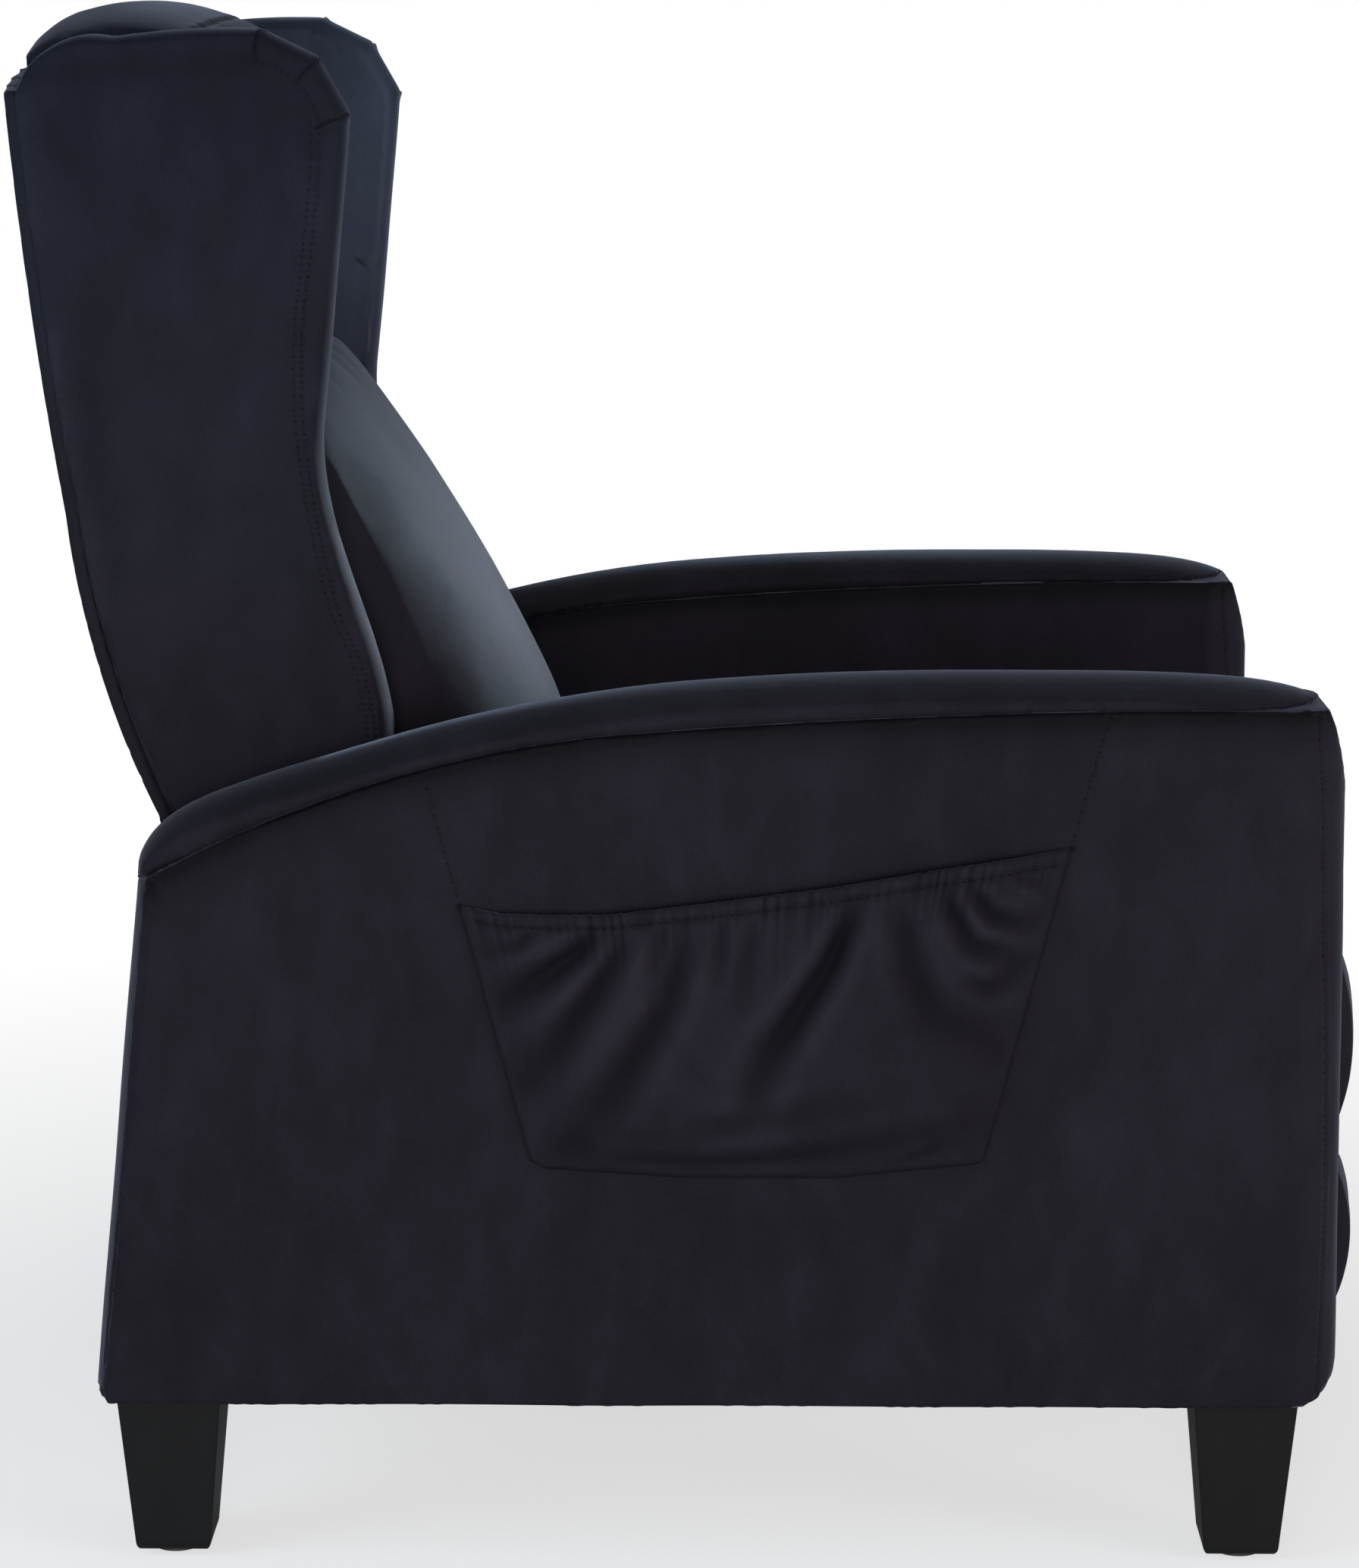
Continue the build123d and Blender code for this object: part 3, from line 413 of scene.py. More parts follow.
# tools for soft forms
blankLook = {"merge": 2e-5, "coreSwell": 0.0009, "ease": 0.5, "edgeCuts": 2, "edgeFade": 0.4}


def settle(obj):
    # the modifiers' result becomes the mesh
    graph = bpy.context.evaluated_depsgraph_get()
    mesh = bpy.data.meshes.new_from_object(obj.evaluated_get(graph))
    obj.modifiers.clear()
    old = obj.data
    obj.data = mesh
    bpy.data.meshes.remove(old)
    obj.data.name = obj.name


def points(obj):
    found = np.zeros(len(obj.data.vertices) * 3)
    obj.data.vertices.foreach_get("co", found)
    return found.reshape(-1, 3)


def setPoints(obj, found):
    obj.data.vertices.foreach_set("co", np.ascontiguousarray(found, dtype=np.float32).ravel())
    obj.data.update()


def normals(obj):
    found = np.zeros(len(obj.data.vertices) * 3)
    obj.data.vertices.foreach_get("normal", found)
    return found.reshape(-1, 3)


def surface(obj):
    bm = bmesh.new()
    bm.from_mesh(obj.data)
    tree = BVHTree.FromBMesh(bm)
    bm.free()
    return tree


def cadForm(node):
    bm = bmesh.new()
    bm.from_mesh(frame["nodes"][node].data)
    bmesh.ops.remove_doubles(bm, verts=bm.verts, dist=blankLook["merge"])
    return bm


def mainShell(bm):
    # drop the small shells that a remesh can leave inside
    left = set(bm.verts)
    shells = []
    while left:
        start = left.pop()
        shell, front = {start}, [start]
        while front:
            for edge in front.pop().link_edges:
                for vert in edge.verts:
                    if vert in left:
                        left.discard(vert)
                        shell.add(vert)
                        front.append(vert)
        shells.append(shell)
    shells.sort(key=len)
    bmesh.ops.delete(bm, geom=[v for shell in shells[:-1] for v in shell], context="VERTS")


def core(plug):
    # the plywood inside a hollow pad, slightly swollen, so that the remesh closes the hollow
    bm = cadForm(plug["node"])
    if "above" in plug:
        cut = bmesh.ops.bisect_plane(bm, geom=bm.verts[:] + bm.edges[:] + bm.faces[:], dist=1e-6,
                                     plane_co=(0, 0, plug["above"]), plane_no=(0, 0, 1), clear_inner=True)
        rim = [e for e in cut["geom_cut"] if isinstance(e, bmesh.types.BMEdge)]
        bmesh.ops.holes_fill(bm, edges=rim, sides=0)
    bm.normal_update()
    for vert in bm.verts:
        vert.co += vert.normal * blankLook["coreSwell"]
    return bm


def eased(value):
    value = np.clip(value, 0, 1)
    return value * value * (3 - 2 * value)


def relaxed(bm):
    bmesh.ops.smooth_vert(bm, verts=bm.verts, factor=blankLook["ease"], use_axis_x=True, use_axis_y=True,
                          use_axis_z=True)


def blank(name, node, voxel, relax=2, snap=0.8, plug=None):
    # a closed soft blank from a CAD solid: merged, remeshed evenly, relaxed and drawn back to it
    bm = cadForm(node)
    solids = BVHTree.FromBMesh(bm)
    if plug:
        inside = core(plug)
        spare = bpy.data.meshes.new("spare")
        inside.to_mesh(spare)
        inside.free()
        bm.from_mesh(spare)
        bpy.data.meshes.remove(spare)
    obj = newObject(name, bm)
    remesh = obj.modifiers.new("even", "REMESH")
    remesh.mode = "VOXEL"
    remesh.voxel_size = voxel
    settle(obj)
    bm = bmesh.new()
    bm.from_mesh(obj.data)
    mainShell(bm)
    for _ in range(relax):
        relaxed(bm)
    for vert in bm.verts:
        spot = solids.find_nearest(vert.co)[0]
        vert.co = vert.co.lerp(spot, snap)
    bm.to_mesh(obj.data)
    bm.free()
    return obj


clothLook = {"quality": 3, "tension": 12, "bending": 0.6, "frames": 20, "shy": -0.0004, "facing": 0.25,
             "reach": 0.03}


def swell(obj, pad, solids):
    # cloth filled with air from a smaller start, capped, and kept to the room that the solid holds
    setPoints(obj, points(obj) - normals(obj) * pad["inset"])
    rest = points(obj)
    cloth = obj.modifiers.new("filling", "CLOTH")
    cloth.settings.use_pressure = True
    cloth.settings.uniform_pressure_force = foamLook["pressure"]
    cloth.settings.effector_weights.gravity = 0
    cloth.settings.quality = clothLook["quality"]
    cloth.settings.tension_stiffness = clothLook["tension"]
    cloth.settings.compression_stiffness = clothLook["tension"]
    cloth.settings.bending_stiffness = clothLook["bending"]
    cloth.collision_settings.use_collision = False
    cloth.collision_settings.use_self_collision = False
    cloth.point_cache.frame_start = 1
    cloth.point_cache.frame_end = clothLook["frames"]
    for number in range(1, clothLook["frames"] + 1):
        scene.frame_set(number)
    settle(obj)
    scene.frame_set(1)
    moved = points(obj) - rest
    length = np.linalg.norm(moved, axis=1, keepdims=True)
    moved *= np.minimum(1.0, pad["cap"] / np.maximum(length, 1e-9))
    found = rest + moved
    free = Vector(pad["free"]).normalized()
    for i, p in enumerate(found.tolist()):
        spot, normal, _, _ = solids.find_nearest(p)
        proud = pad["proud"] if normal.dot(free) > clothLook["facing"] else clothLook["shy"]
        over = (Vector(p) - spot).dot(normal) - proud
        if over > 0:
            found[i] -= np.array(normal) * over
        elif over > -clothLook["reach"]:
            found[i] += (np.array(spot) - found[i]) * pad["fit"]
    setPoints(obj, found)
    bm = bmesh.new()
    bm.from_mesh(obj.data)
    relaxed(bm)
    bm.to_mesh(obj.data)
    bm.free()


def undulate(obj, height, size, seed=0.0):
    # the slight unevenness of foam under cloth
    found = points(obj)
    out = normals(obj)
    for i, p in enumerate(found.tolist()):
        found[i] += out[i] * height * noise.noise(Vector(p) / size + Vector((seed, seed, seed)))
    setPoints(obj, found)


def smoothPath(route, step=0.004):
    # even points along a smooth curve through the given ones
    route = [Vector(p) for p in route]
    ends = [route[0] * 2 - route[1]] + route + [route[-1] * 2 - route[-2]]
    found = []
    for i in range(1, len(ends) - 2):
        a, b, c, d = ends[i - 1:i + 3]
        count = max(2, int((c - b).length / step))
        for k in range(count):
            t = k / count
            found.append(0.5 * (2 * b + (c - a) * t + (2 * a - 5 * b + 4 * c - d) * t * t
                                + (3 * b - a - 3 * c + d) * t ** 3))
    return found + [route[-1]]


def sideRoute(route, back=0.0, up=0.0, step=0.004):
    # (y, z) in millimetres, moved back and up, to points in the plane of symmetry
    return smoothPath([(0.0, (y + back) / 1000, (z + up) / 1000) for y, z in route], step)


def onSurface(tree, route, towards, start=1.0):
    # each point is thrown onto the surface along a direction
    towards = Vector(towards)
    found = []
    for p in route:
        hit = tree.ray_cast(Vector(p) - towards * start, towards)[0]
        if hit is not None:
            found.append(hit)
    return found


def fromOutside(tree, route):
    return onSurface(tree, route, (1, 0, 0))


def bothSides(tree, route):
    # on an arm's outer side, and on its inner side from the middle of the seat
    return [fromOutside(tree, route), onSurface(tree, route, (-1, 0, 0), 0.1)]


def nearest(found, path):
    # for every point: distance to a path, how far along it, its direction there and its nearest spot
    tree = KDTree(len(path))
    run = [0.0]
    for i, p in enumerate(path):
        tree.insert(p, i)
        if i:
            run.append(run[-1] + (p - path[i - 1]).length)
    tree.balance()
    best, along = np.zeros(len(found)), np.zeros(len(found))
    heading = np.zeros((len(found), 3))
    spots = np.zeros((len(found), 3))
    ways = [(path[min(i + 1, len(path) - 1)] - path[max(i - 1, 0)]).normalized() for i in range(len(path))]
    for i, p in enumerate(found.tolist()):
        spot, which, gap = tree.find(p)
        best[i] = gap
        along[i] = run[which]
        heading[i] = ways[which]
        spots[i] = spot
    return best, along, heading, spots


def refine(obj, paths, reach, cuts):
    # finer faces near the seams
    tree = KDTree(sum(len(path) for path in paths))
    for i, p in enumerate(p for path in paths for p in path):
        tree.insert(p, i)
    tree.balance()
    bm = bmesh.new()
    bm.from_mesh(obj.data)
    near = {v for v in bm.verts if tree.find(v.co)[2] < reach}
    edges = [e for e in bm.edges if e.verts[0] in near and e.verts[1] in near]
    bmesh.ops.subdivide_edges(bm, edges=edges, cuts=cuts, use_grid_fill=True, smooth=0.0)
    bm.to_mesh(obj.data)
    bm.free()


def crisp(obj, paths, reach, node):
    # the edges where roll and cover meet stay sharp: finer faces, drawn fully to the solid
    refine(obj, paths, reach, blankLook["edgeCuts"])
    solids = BVHTree.FromBMesh(cadForm(node))
    found = points(obj)
    gap = np.minimum.reduce([nearest(found, path)[0] for path in paths])
    for i in np.nonzero(gap < reach)[0]:
        spot = np.array(solids.find_nearest(Vector(found[i]))[0])
        found[i] += (spot - found[i]) * eased((reach - gap[i]) / (blankLook["edgeFade"] * reach))
    setPoints(obj, found)


sewnLook = {"lips": 0.28, "lipsAt": 2.6, "lipsWide": 1.5, "second": 0.6, "pace": 3.7, "start": 1.3,
            "puckerWide": 4, "tuckWide": 4}


def groove(obj, path, seam):
    # a sewn line: a narrow valley with soft lips, and small puckers across it
    sewn = sewnLook
    found = points(obj)
    out = normals(obj)
    distance, along, _, _ = nearest(found, path)
    width = seam["width"]
    valley = seam["depth"] * np.exp(-(distance / width) ** 2)
    lips = seam["depth"] * sewn["lips"] * np.exp(-((distance - sewn["lipsAt"] * width)
                                                   / (sewn["lipsWide"] * width)) ** 2)
    turns = along / seam["pitch"]
    waves = np.sin(turns * 2 * pi) + sewn["second"] * np.sin(turns * sewn["pace"] + sewn["start"])
    puckers = seam["pucker"] * waves * np.exp(-(distance / (width * sewn["puckerWide"])) ** 2)
    setPoints(obj, found + out * (lips + puckers - valley)[:, None])


def paintLightMarks(obj, marks):
    # painted light and shade as an attribute on the points: 0.5 is even, less is painted shade, more is
    # painted highlight
    found = points(obj)
    paintedLight = np.full(len(found), 0.5)
    for path, amount, width in marks:
        paintedLight += amount * np.exp(-(nearest(found, path)[0] / width) ** 2)
    layer = obj.data.attributes.new("paintedLight", "FLOAT", "POINT")
    layer.data.foreach_set("value", np.clip(paintedLight, 0.0, 1.0).astype(np.float32))


def pleat(obj, path, fold):
    # a folded tuck: the cloth on one side of the line lies over the other
    found = points(obj)
    out = normals(obj)
    distance, along, heading, spots = nearest(found, path)
    side = np.sign(np.einsum("ij,ij->i", np.cross(heading, found - spots), out))
    valley = fold["depth"] * np.exp(-(distance / fold["width"]) ** 2)
    over = fold["lift"] * np.exp(-(distance / (fold["width"] * sewnLook["tuckWide"])) ** 2) * (side > 0)
    setPoints(obj, found + out * (over - valley)[:, None])


def shade(obj):
    obj.data.polygons.foreach_set("use_smooth", [True] * len(obj.data.polygons))
    obj.data.update()


def mirrored(obj, name):
    bm = bmesh.new()
    bm.from_mesh(obj.data)
    bmesh.ops.scale(bm, vec=(-1, 1, 1), verts=bm.verts)
    bmesh.ops.recalc_face_normals(bm, faces=bm.faces)
    twin = newObject(name, bm)
    shade(twin)
    return twin


def dress(obj, body, slot, nodes, finish=None):
    obj.data.materials.clear()
    obj.data.materials.append(finish or finishes[slot])
    shade(obj)
    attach(obj, body)
    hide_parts(*nodes)


threadLook = {"pitch": 0.0046, "length": 0.0030, "thick": 0.0007, "flatten": 2.2}


def stitches(bm, tree, path):
    # thread along a path, each stitch a small bead half sunk in the cloth
    look = threadLook
    run, last = 0.0, path[0]
    for p in path[1:]:
        step = p - last
        run += step.length
        last = p
        if run < look["pitch"]:
            continue
        run = 0.0
        spot, normal, _, _ = tree.find_nearest(p)
        along = (step - normal * step.dot(normal)).normalized()
        turn = Matrix((along, normal.cross(along), normal)).transposed().to_4x4()
        size = Matrix.Diagonal((look["length"] / 2, look["thick"] / 2, look["thick"] / look["flatten"], 1))
        place = Matrix.Translation(spot) @ turn @ size
        bmesh.ops.create_icosphere(bm, subdivisions=1, radius=1, matrix=place)


def threadPair(bm, body, name):
    # the right side's stitches and their mirrored twins
    right = newObject(name + "Right", bm)
    left = mirrored(right, name + "Left")
    for piece in (right, left):
        piece.data.materials.clear()
        piece.data.materials.append(threadFinish)
        shade(piece)
        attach(piece, body)


# legs: bevelled lacquered tapers
legLook = {"bevel": 0.0014, "shortest": 0.02, "sharp": 0.35, "flat": 0.02}


def bevelledLeg(name, node):
    bm = cadForm(node)
    bmesh.ops.dissolve_limit(bm, angle_limit=legLook["flat"], verts=bm.verts, edges=bm.edges)
    edges = [e for e in bm.edges if len(e.link_faces) == 2 and e.calc_length() > legLook["shortest"]
             and e.calc_face_angle(0) > legLook["sharp"]]
    bmesh.ops.bevel(bm, geom=edges, offset=legLook["bevel"], offset_type="OFFSET", segments=2, profile=0.5,
                    affect="EDGES", material=-1)
    return newObject(name, bm)


for place in ("front", "rear"):
    for side in ("right", "left"):
        node = place + "_leg_" + side
        leg = bevelledLeg(place + "Leg" + side.title(), node)
        leg.data.materials.clear()
        leg.data.materials.append(finishes["leg_wood"])
        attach(leg, "base")
        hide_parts(node)
print("legs ready")

# arms: outlines on the chair's side are (y, z) in millimetres, a painted shading mark is (change, width),
# darker where the change is negative
mouthLine = [(149, 459), (122, 455), (52, 455), (-22, 464), (-97, 474), (-172, 487), (-246, 498), (-252, 499)]
armLook = {
    "voxel": 0.0050, "relax": 2, "snap": 0.88, "wave": 0.0007, "waveSize": 0.11,
    "frontSeam": [(-412.1, 586.8), (-413.6, 566.8), (-415.7, 544.2), (-417.4, 518.9), (-418.3, 483.5),
                  (-419.7, 432.6), (-422.6, 383.9), (-424.1, 329.7), (-425.7, 251.6), (-424.8, 175.9),
                  (-423.1, 120)],
    "rearSeam": [(349, 476), (354, 452), (391, 143), (392.5, 118)],
    "pocketRear": [(170, 537), (158, 491), (149, 459), (126, 373), (103, 286)],
    "pocketFront": [(-276, 586), (-252, 499), (-226, 400), (-197, 288)],
    "crest": [(352, 470), (344, 480), (251, 526), (171, 549), (102, 564.5), (22, 575), (-47, 580),
              (-146, 584), (-284, 587), (-343, 588.5), (-400, 589), (-421, 588)],
    "tuck": {"reach": 0.0030, "inward": 0.0013, "middle": -0.295},
    "crestTuck": {"depth": 0.0008, "width": 0.0050, "pucker": 0.0001, "pitch": 0.03},
    "edgeSeam": {"depth": 0.0013, "width": 0.0015, "pucker": 0.0002, "pitch": 0.021},
    "rearEdge": {"depth": 0.0012, "width": 0.0018, "pucker": 0.0002, "pitch": 0.021},
    "flatSeam": {"depth": 0.0009, "width": 0.0011, "pucker": 0.00015, "pitch": 0.017},
    "fine": 0.009, "cuts": 3, "edgeDrop": -3, "edgeReach": 0.010, "mouthDrop": -0.6,
    # painted shade: a dark band and a dark line under the roll outside, darker under it inside, a painted
    # shadow in the pocket's opening, darker along the seams
    "shadow": (-0.26, 0.016), "line": (-0.18, 0.005), "innerShadow": (-0.40, 0.009),
    "mouthShadow": (-0.48, 0.0019), "sewn": (-0.16, 0.0012),
}


def tuckUnder(obj, node, tuck):
    # the cover's upper edges go in under the roll's lips
    lip = BVHTree.FromBMesh(cadForm(node))
    found = points(obj)
    for i, p in enumerate(found.tolist()):
        gap = lip.find_nearest(p)[3]
        if gap < tuck["reach"]:
            side = 1 if p[0] < tuck["middle"] else -1
            found[i, 0] += side * tuck["inward"] * (1 - gap / tuck["reach"])
    setPoints(obj, found)


def armCover():
    look = armLook
    obj = blank("armCoverRight", "arm_cover_right", look["voxel"], look["relax"], look["snap"],
                plug={"node": "arm_frame_right"})
    undulate(obj, look["wave"], look["waveSize"])
    tree = surface(obj)
    fronts = bothSides(tree, sideRoute(look["frontSeam"]))
    rears = bothSides(tree, sideRoute(look["rearSeam"]))
    pocketSeams = [fromOutside(tree, sideRoute(look[key])) for key in ("pocketRear", "pocketFront")]
    mouth = fromOutside(tree, sideRoute(mouthLine, up=look["mouthDrop"]))
    refine(obj, fronts + rears + pocketSeams + [mouth], look["fine"], look["cuts"])
    crests = bothSides(tree, sideRoute(look["crest"], up=look["edgeDrop"]))
    crisp(obj, crests, look["edgeReach"], "arm_cover_right")
    tuckUnder(obj, "arm_pad_right", look["tuck"])
    for paths, seam in ((crests[:1], "crestTuck"), (fronts, "edgeSeam"), (rears, "rearEdge"),
                        (pocketSeams, "flatSeam")):
        for path in paths:
            groove(obj, path, look[seam])
    tree = surface(obj)
    bm = bmesh.new()
    for path in fronts + pocketSeams:
        stitches(bm, tree, path)
    threadPair(bm, "base", "armStitches")
    # painted shade under the roll, a painted shadow in the pocket's opening and painted shade along the seams
    paintLightMarks(obj, [(crests[0], *look["shadow"]), (crests[0], *look["line"]), (crests[1], *look["innerShadow"]),
                 (mouth, *look["mouthShadow"])] + [(path, *look["sewn"]) for path in fronts + pocketSeams])
    return obj, crests


padLook = {"voxel": 0.0040, "relax": 3, "snap": 0.96, "wave": 0.0007, "waveSize": 0.09, "seed": 3.1,
           "edgeReach": 0.009, "shadow": (-0.30, 0.0065), "innerShadow": (-0.40, 0.0100)}


def armPad(crests):
    look = padLook
    obj = blank("armPadRight", "arm_pad_right", look["voxel"], look["relax"], look["snap"])
    undulate(obj, look["wave"], look["waveSize"], look["seed"])
    crisp(obj, crests, look["edgeReach"], "arm_pad_right")
    paintLightMarks(obj, [(crests[0], *look["shadow"]), (crests[1], *look["innerShadow"])])
    return obj


coverRight, crests = armCover()
padRight = armPad(crests)
for side, cover, pad in (("right", coverRight, padRight),
                         ("left", mirrored(coverRight, "armCoverLeft"), mirrored(padRight, "armPadLeft"))):
    dress(cover, "base", "velvet", ["arm_cover_" + side], paintedLightVelvet)
    dress(pad, "base", "velvet", ["arm_pad_" + side], paintedLightVelvet)
print("arms ready", len(coverRight.data.polygons), len(padRight.data.polygons))

# side pockets: gathered on elastic at the mouth, sewn down at the sides and foot
pocketLook = {
    "across": 240, "up": 128, "cloth": 0.0016,
    "mouth": mouthLine,
    "foot": [(103, 286), (94, 281), (2, 275), (-98, 275), (-194, 285), (-197, 288)],
    "face": 345.8, "height": 185.0, "width": 330.0, "least": 0.5,
    "swell": 12.5, "rise": 0.2, "slack": 0.3, "slackFrom": 0.55, "slackOver": 0.45,
    "sewn": 0.15, "sewnReach": 0.15, "endReach": 0.025,
    "hem": 9.5, "hemWide": 3.0, "hemDip": 1.1, "hemDipWide": 1.5,
    "ruffle": 1.0, "inHem": 0.8, "underHem": 0.9, "gather": 18.0,
}
# each fold: shares (across, up) of its line, its depth and half width in millimetres
folds = [
    ([(0.190, 0.86), (0.110, 0.75), (0.017, 0.635)], 6.5, 8.5),
    ([(0.251, 0.85), (0.191, 0.673), (0.110, 0.48), (0.029, 0.31)], 4.5, 9.0),
    ([(0.321, 0.86), (0.297, 0.709)], 3.0, 5.0),
    ([(0.362, 0.86), (0.329, 0.652), (0.229, 0.365), (0.100, 0.104)], 4.5, 9.5),
    ([(0.081, 0.87), (0.022, 0.829)], 2.4, 4.0),
    ([(0.427, 0.84), (0.417, 0.708)], 1.8, 4.0),
    ([(0.477, 0.84), (0.460, 0.634)], 2.0, 5.0),
    ([(0.640, 0.87), (0.613, 0.729), (0.567, 0.587), (0.515, 0.442), (0.488, 0.31)], 7.5, 8.5),
    ([(0.726, 0.87), (0.763, 0.675), (0.825, 0.509), (0.954, 0.387)], 3.6, 10.0),
    ([(0.849, 0.90), (0.892, 0.814), (0.956, 0.773), (0.992, 0.814)], 4.2, 6.0),
    ([(0.811, 0.875), (0.859, 0.741), (0.955, 0.665), (0.995, 0.691)], 4.2, 7.0),
    ([(0.870, 0.62), (0.914, 0.585), (0.996, 0.629)], 3.0, 7.0),
    ([(0.928, 0.917), (0.990, 0.884)], 2.0, 3.5),
    ([(0.367, 0.198), (0.520, 0.21), (0.678, 0.248)], 2.4, 9.0),
    ([(0.189, 0.060), (0.393, 0.050), (0.638, 0.095), (0.844, 0.128)], 2.6, 7.0),
    ([(0.787, 0.020), (0.918, 0.075)], 1.6, 4.0),
]


def alongRoute(route, share):
    route = np.array(route, float)
    run = np.concatenate([[0], np.cumsum(np.hypot(*np.diff(route, axis=0).T))])
    return np.interp(share * run[-1], run, route[:, 0]), np.interp(share * run[-1], run, route[:, 1])


def pocketPlace(across, up):
    # shares of the pocket's width and height to (y, z) in millimetres
    topY, topZ = alongRoute(pocketLook["mouth"], across)
    lowY, lowZ = alongRoute(pocketLook["foot"], across)
    return lowY + (topY - lowY) * up, lowZ + (topZ - lowZ) * up


foldLook = {"gathered": 0.83, "hem": 0.945, "steep": 0.06, "lean": 0.6, "fadeIn": 0.34, "before": 0.08,
            "fadeOut": 0.6, "fadeFrom": 0.5, "narrow": 0.7, "widen": 0.6, "shoulder": 0.34, "shoulderAt": 2.0,
            "shoulderWide": 0.85, "sides": 0.03, "foot": 0.06, "top": 6, "topOver": 8}


def foldDepth(y, z, route, half):
    # how deep the valley of a fold is at each point, from 0 to 1, with its raised shoulders
    look = foldLook
    (a, u), (b, v) = route[:2]
    if u > look["gathered"]:  # gathered folds begin at the hem
        reach = (look["hem"] - u) / max(u - v, look["steep"])
        route = [(a + (a - b) * reach * look["lean"], look["hem"])] + route
    route = [pocketPlace(a, u) for a, u in route]
    lengths = [hypot(q[0] - p[0], q[1] - p[1]) for p, q in zip(route, route[1:])]
    best = np.full(len(y), 1e9)
    share = np.zeros(len(y))
    done = 0.0
    for (p, q), length in zip(zip(route, route[1:]), lengths):
        dy, dz = q[0] - p[0], q[1] - p[1]
        t = np.clip(((y - p[0]) * dy + (z - p[1]) * dz) / length ** 2, 0, 1)
        gap = np.hypot(y - p[0] - t * dy, z - p[1] - t * dz)
        closer = gap < best
        best = np.where(closer, gap, best)
        share = np.where(closer, (done + t * length) / sum(lengths), share)
        done += length
    fadeOut = eased((share - look["fadeFrom"]) / (1 - look["fadeFrom"]))
    taper = eased((share + look["before"]) / look["fadeIn"]) * (1 - look["fadeOut"] * fadeOut)
    wide = half * (look["narrow"] + look["widen"] * share)
    valley = np.exp(-(best / wide) ** 2)
    shoulders = np.exp(-((best - look["shoulderAt"] * wide) / (look["shoulderWide"] * wide)) ** 2)
    return taper * (valley - look["shoulder"] * shoulders)


ruffleLook = {"count": 46, "drifts": [(0.5, 31, 0.0), (0.35, 71, 1.0)], "second": 0.5, "pace": 1.7,
              "start": 0.7, "even": 0.65, "uneven": 0.35, "waves": 23, "wavesStart": 2.0}


def ruffled(across):
    # small uneven gathers along the elastic
    look = ruffleLook
    drift = sum(share * np.sin(rate * across + start) for share, rate, start in look["drifts"])
    phase = 2 * pi * (look["count"] * across + drift)
    ruffle = np.sin(phase) + look["second"] * np.sin(look["pace"] * phase + look["start"])
    return ruffle * (look["even"] + look["uneven"] * np.sin(look["waves"] * across + look["wavesStart"]))


# painted light on the pocket: painted shade in the folds, gathers, hem, sewn edges and opening, a painted
# highlight on raised gathers
pocketPaintedLight = {"folds": 0.090, "ruffles": 0.21, "raised": -0.6, "hem": 0.18, "foot": 0.34, "footWide": 2.6,
            "sides": 0.25, "sidesWide": 1.6, "mouth": 0.20, "mouthWide": 2.0, "least": 0.12}


def pocket():
    look, paintedShares = pocketLook, pocketPaintedLight
    bm = bmesh.new()
    bmesh.ops.create_grid(bm, x_segments=look["across"], y_segments=look["up"], size=0.5)
    across, up = np.array([(vert.co.x + 0.5, vert.co.y + 0.5) for vert in bm.verts]).T
    y, z = pocketPlace(across, up)
    under = (1 - up) * look["height"]
    nearSide = np.minimum(across, 1 - across)
    ends = eased(nearSide / look["endReach"])
    slack = look["slack"] * eased((up - look["slackFrom"]) / look["slackOver"])
    body = look["swell"] * eased(up / look["rise"]) * (1 - slack)
    valleys = sum(depth * foldDepth(y, z, route, half) for route, depth, half in folds)
    valleys *= eased(nearSide / foldLook["sides"]) * eased(up / foldLook["foot"])
    valleys *= eased((under - look["hem"] + foldLook["top"]) / foldLook["topOver"])
    out = (body - valleys) * (look["sewn"] + (1 - look["sewn"]) * eased(nearSide / look["sewnReach"]))
    ruffle = ruffled(across)
    fading = look["underHem"] * np.exp(-((under - look["hem"]) / look["gather"]))
    gather = np.where(under < look["hem"], look["inHem"], fading)
    out += look["ruffle"] * ruffle * gather * ends
    out -= look["hemDip"] * np.exp(-((under - look["hem"]) / look["hemDipWide"]) ** 2) * ends
    out = np.maximum(out, look["least"])
    hem = np.exp(-((under - look["hem"]) / look["hemWide"]) ** 2)
    # painted shade in folds, under the hem, at the sewn foot and sides and a painted shadow at the opening;
    # raised gathers get a painted highlight
    paintedLight = 0.5 - paintedShares["folds"] * valleys - paintedShares["hem"] * hem * ends
    paintedLight -= paintedShares["ruffles"] * gather * np.maximum(-ruffle, paintedShares["raised"]) * ends
    paintedLight -= paintedShares["foot"] * np.exp(-(up * look["height"] / paintedShares["footWide"]) ** 2)
    paintedLight -= paintedShares["sides"] * np.exp(-(nearSide * look["width"] / paintedShares["sidesWide"]) ** 2)
    paintedLight -= paintedShares["mouth"] * np.exp(-(under / paintedShares["mouthWide"]) ** 2)
    layer = bm.verts.layers.float.new("paintedLight")
    for vert, a, b, c, shadeShare in zip(bm.verts, out, y, z, np.clip(paintedLight, paintedShares["least"], 1)):
        vert.co = (-(look["face"] + a) / 1000, b / 1000, c / 1000)
        vert[layer] = shadeShare
    bmesh.ops.reverse_faces(bm, faces=bm.faces)
    obj = newObject("sidePocketRight", bm)
    solid = obj.modifiers.new("cloth", "SOLIDIFY")
    solid.thickness = look["cloth"]
    solid.offset = 0.0
    settle(obj)
    return obj


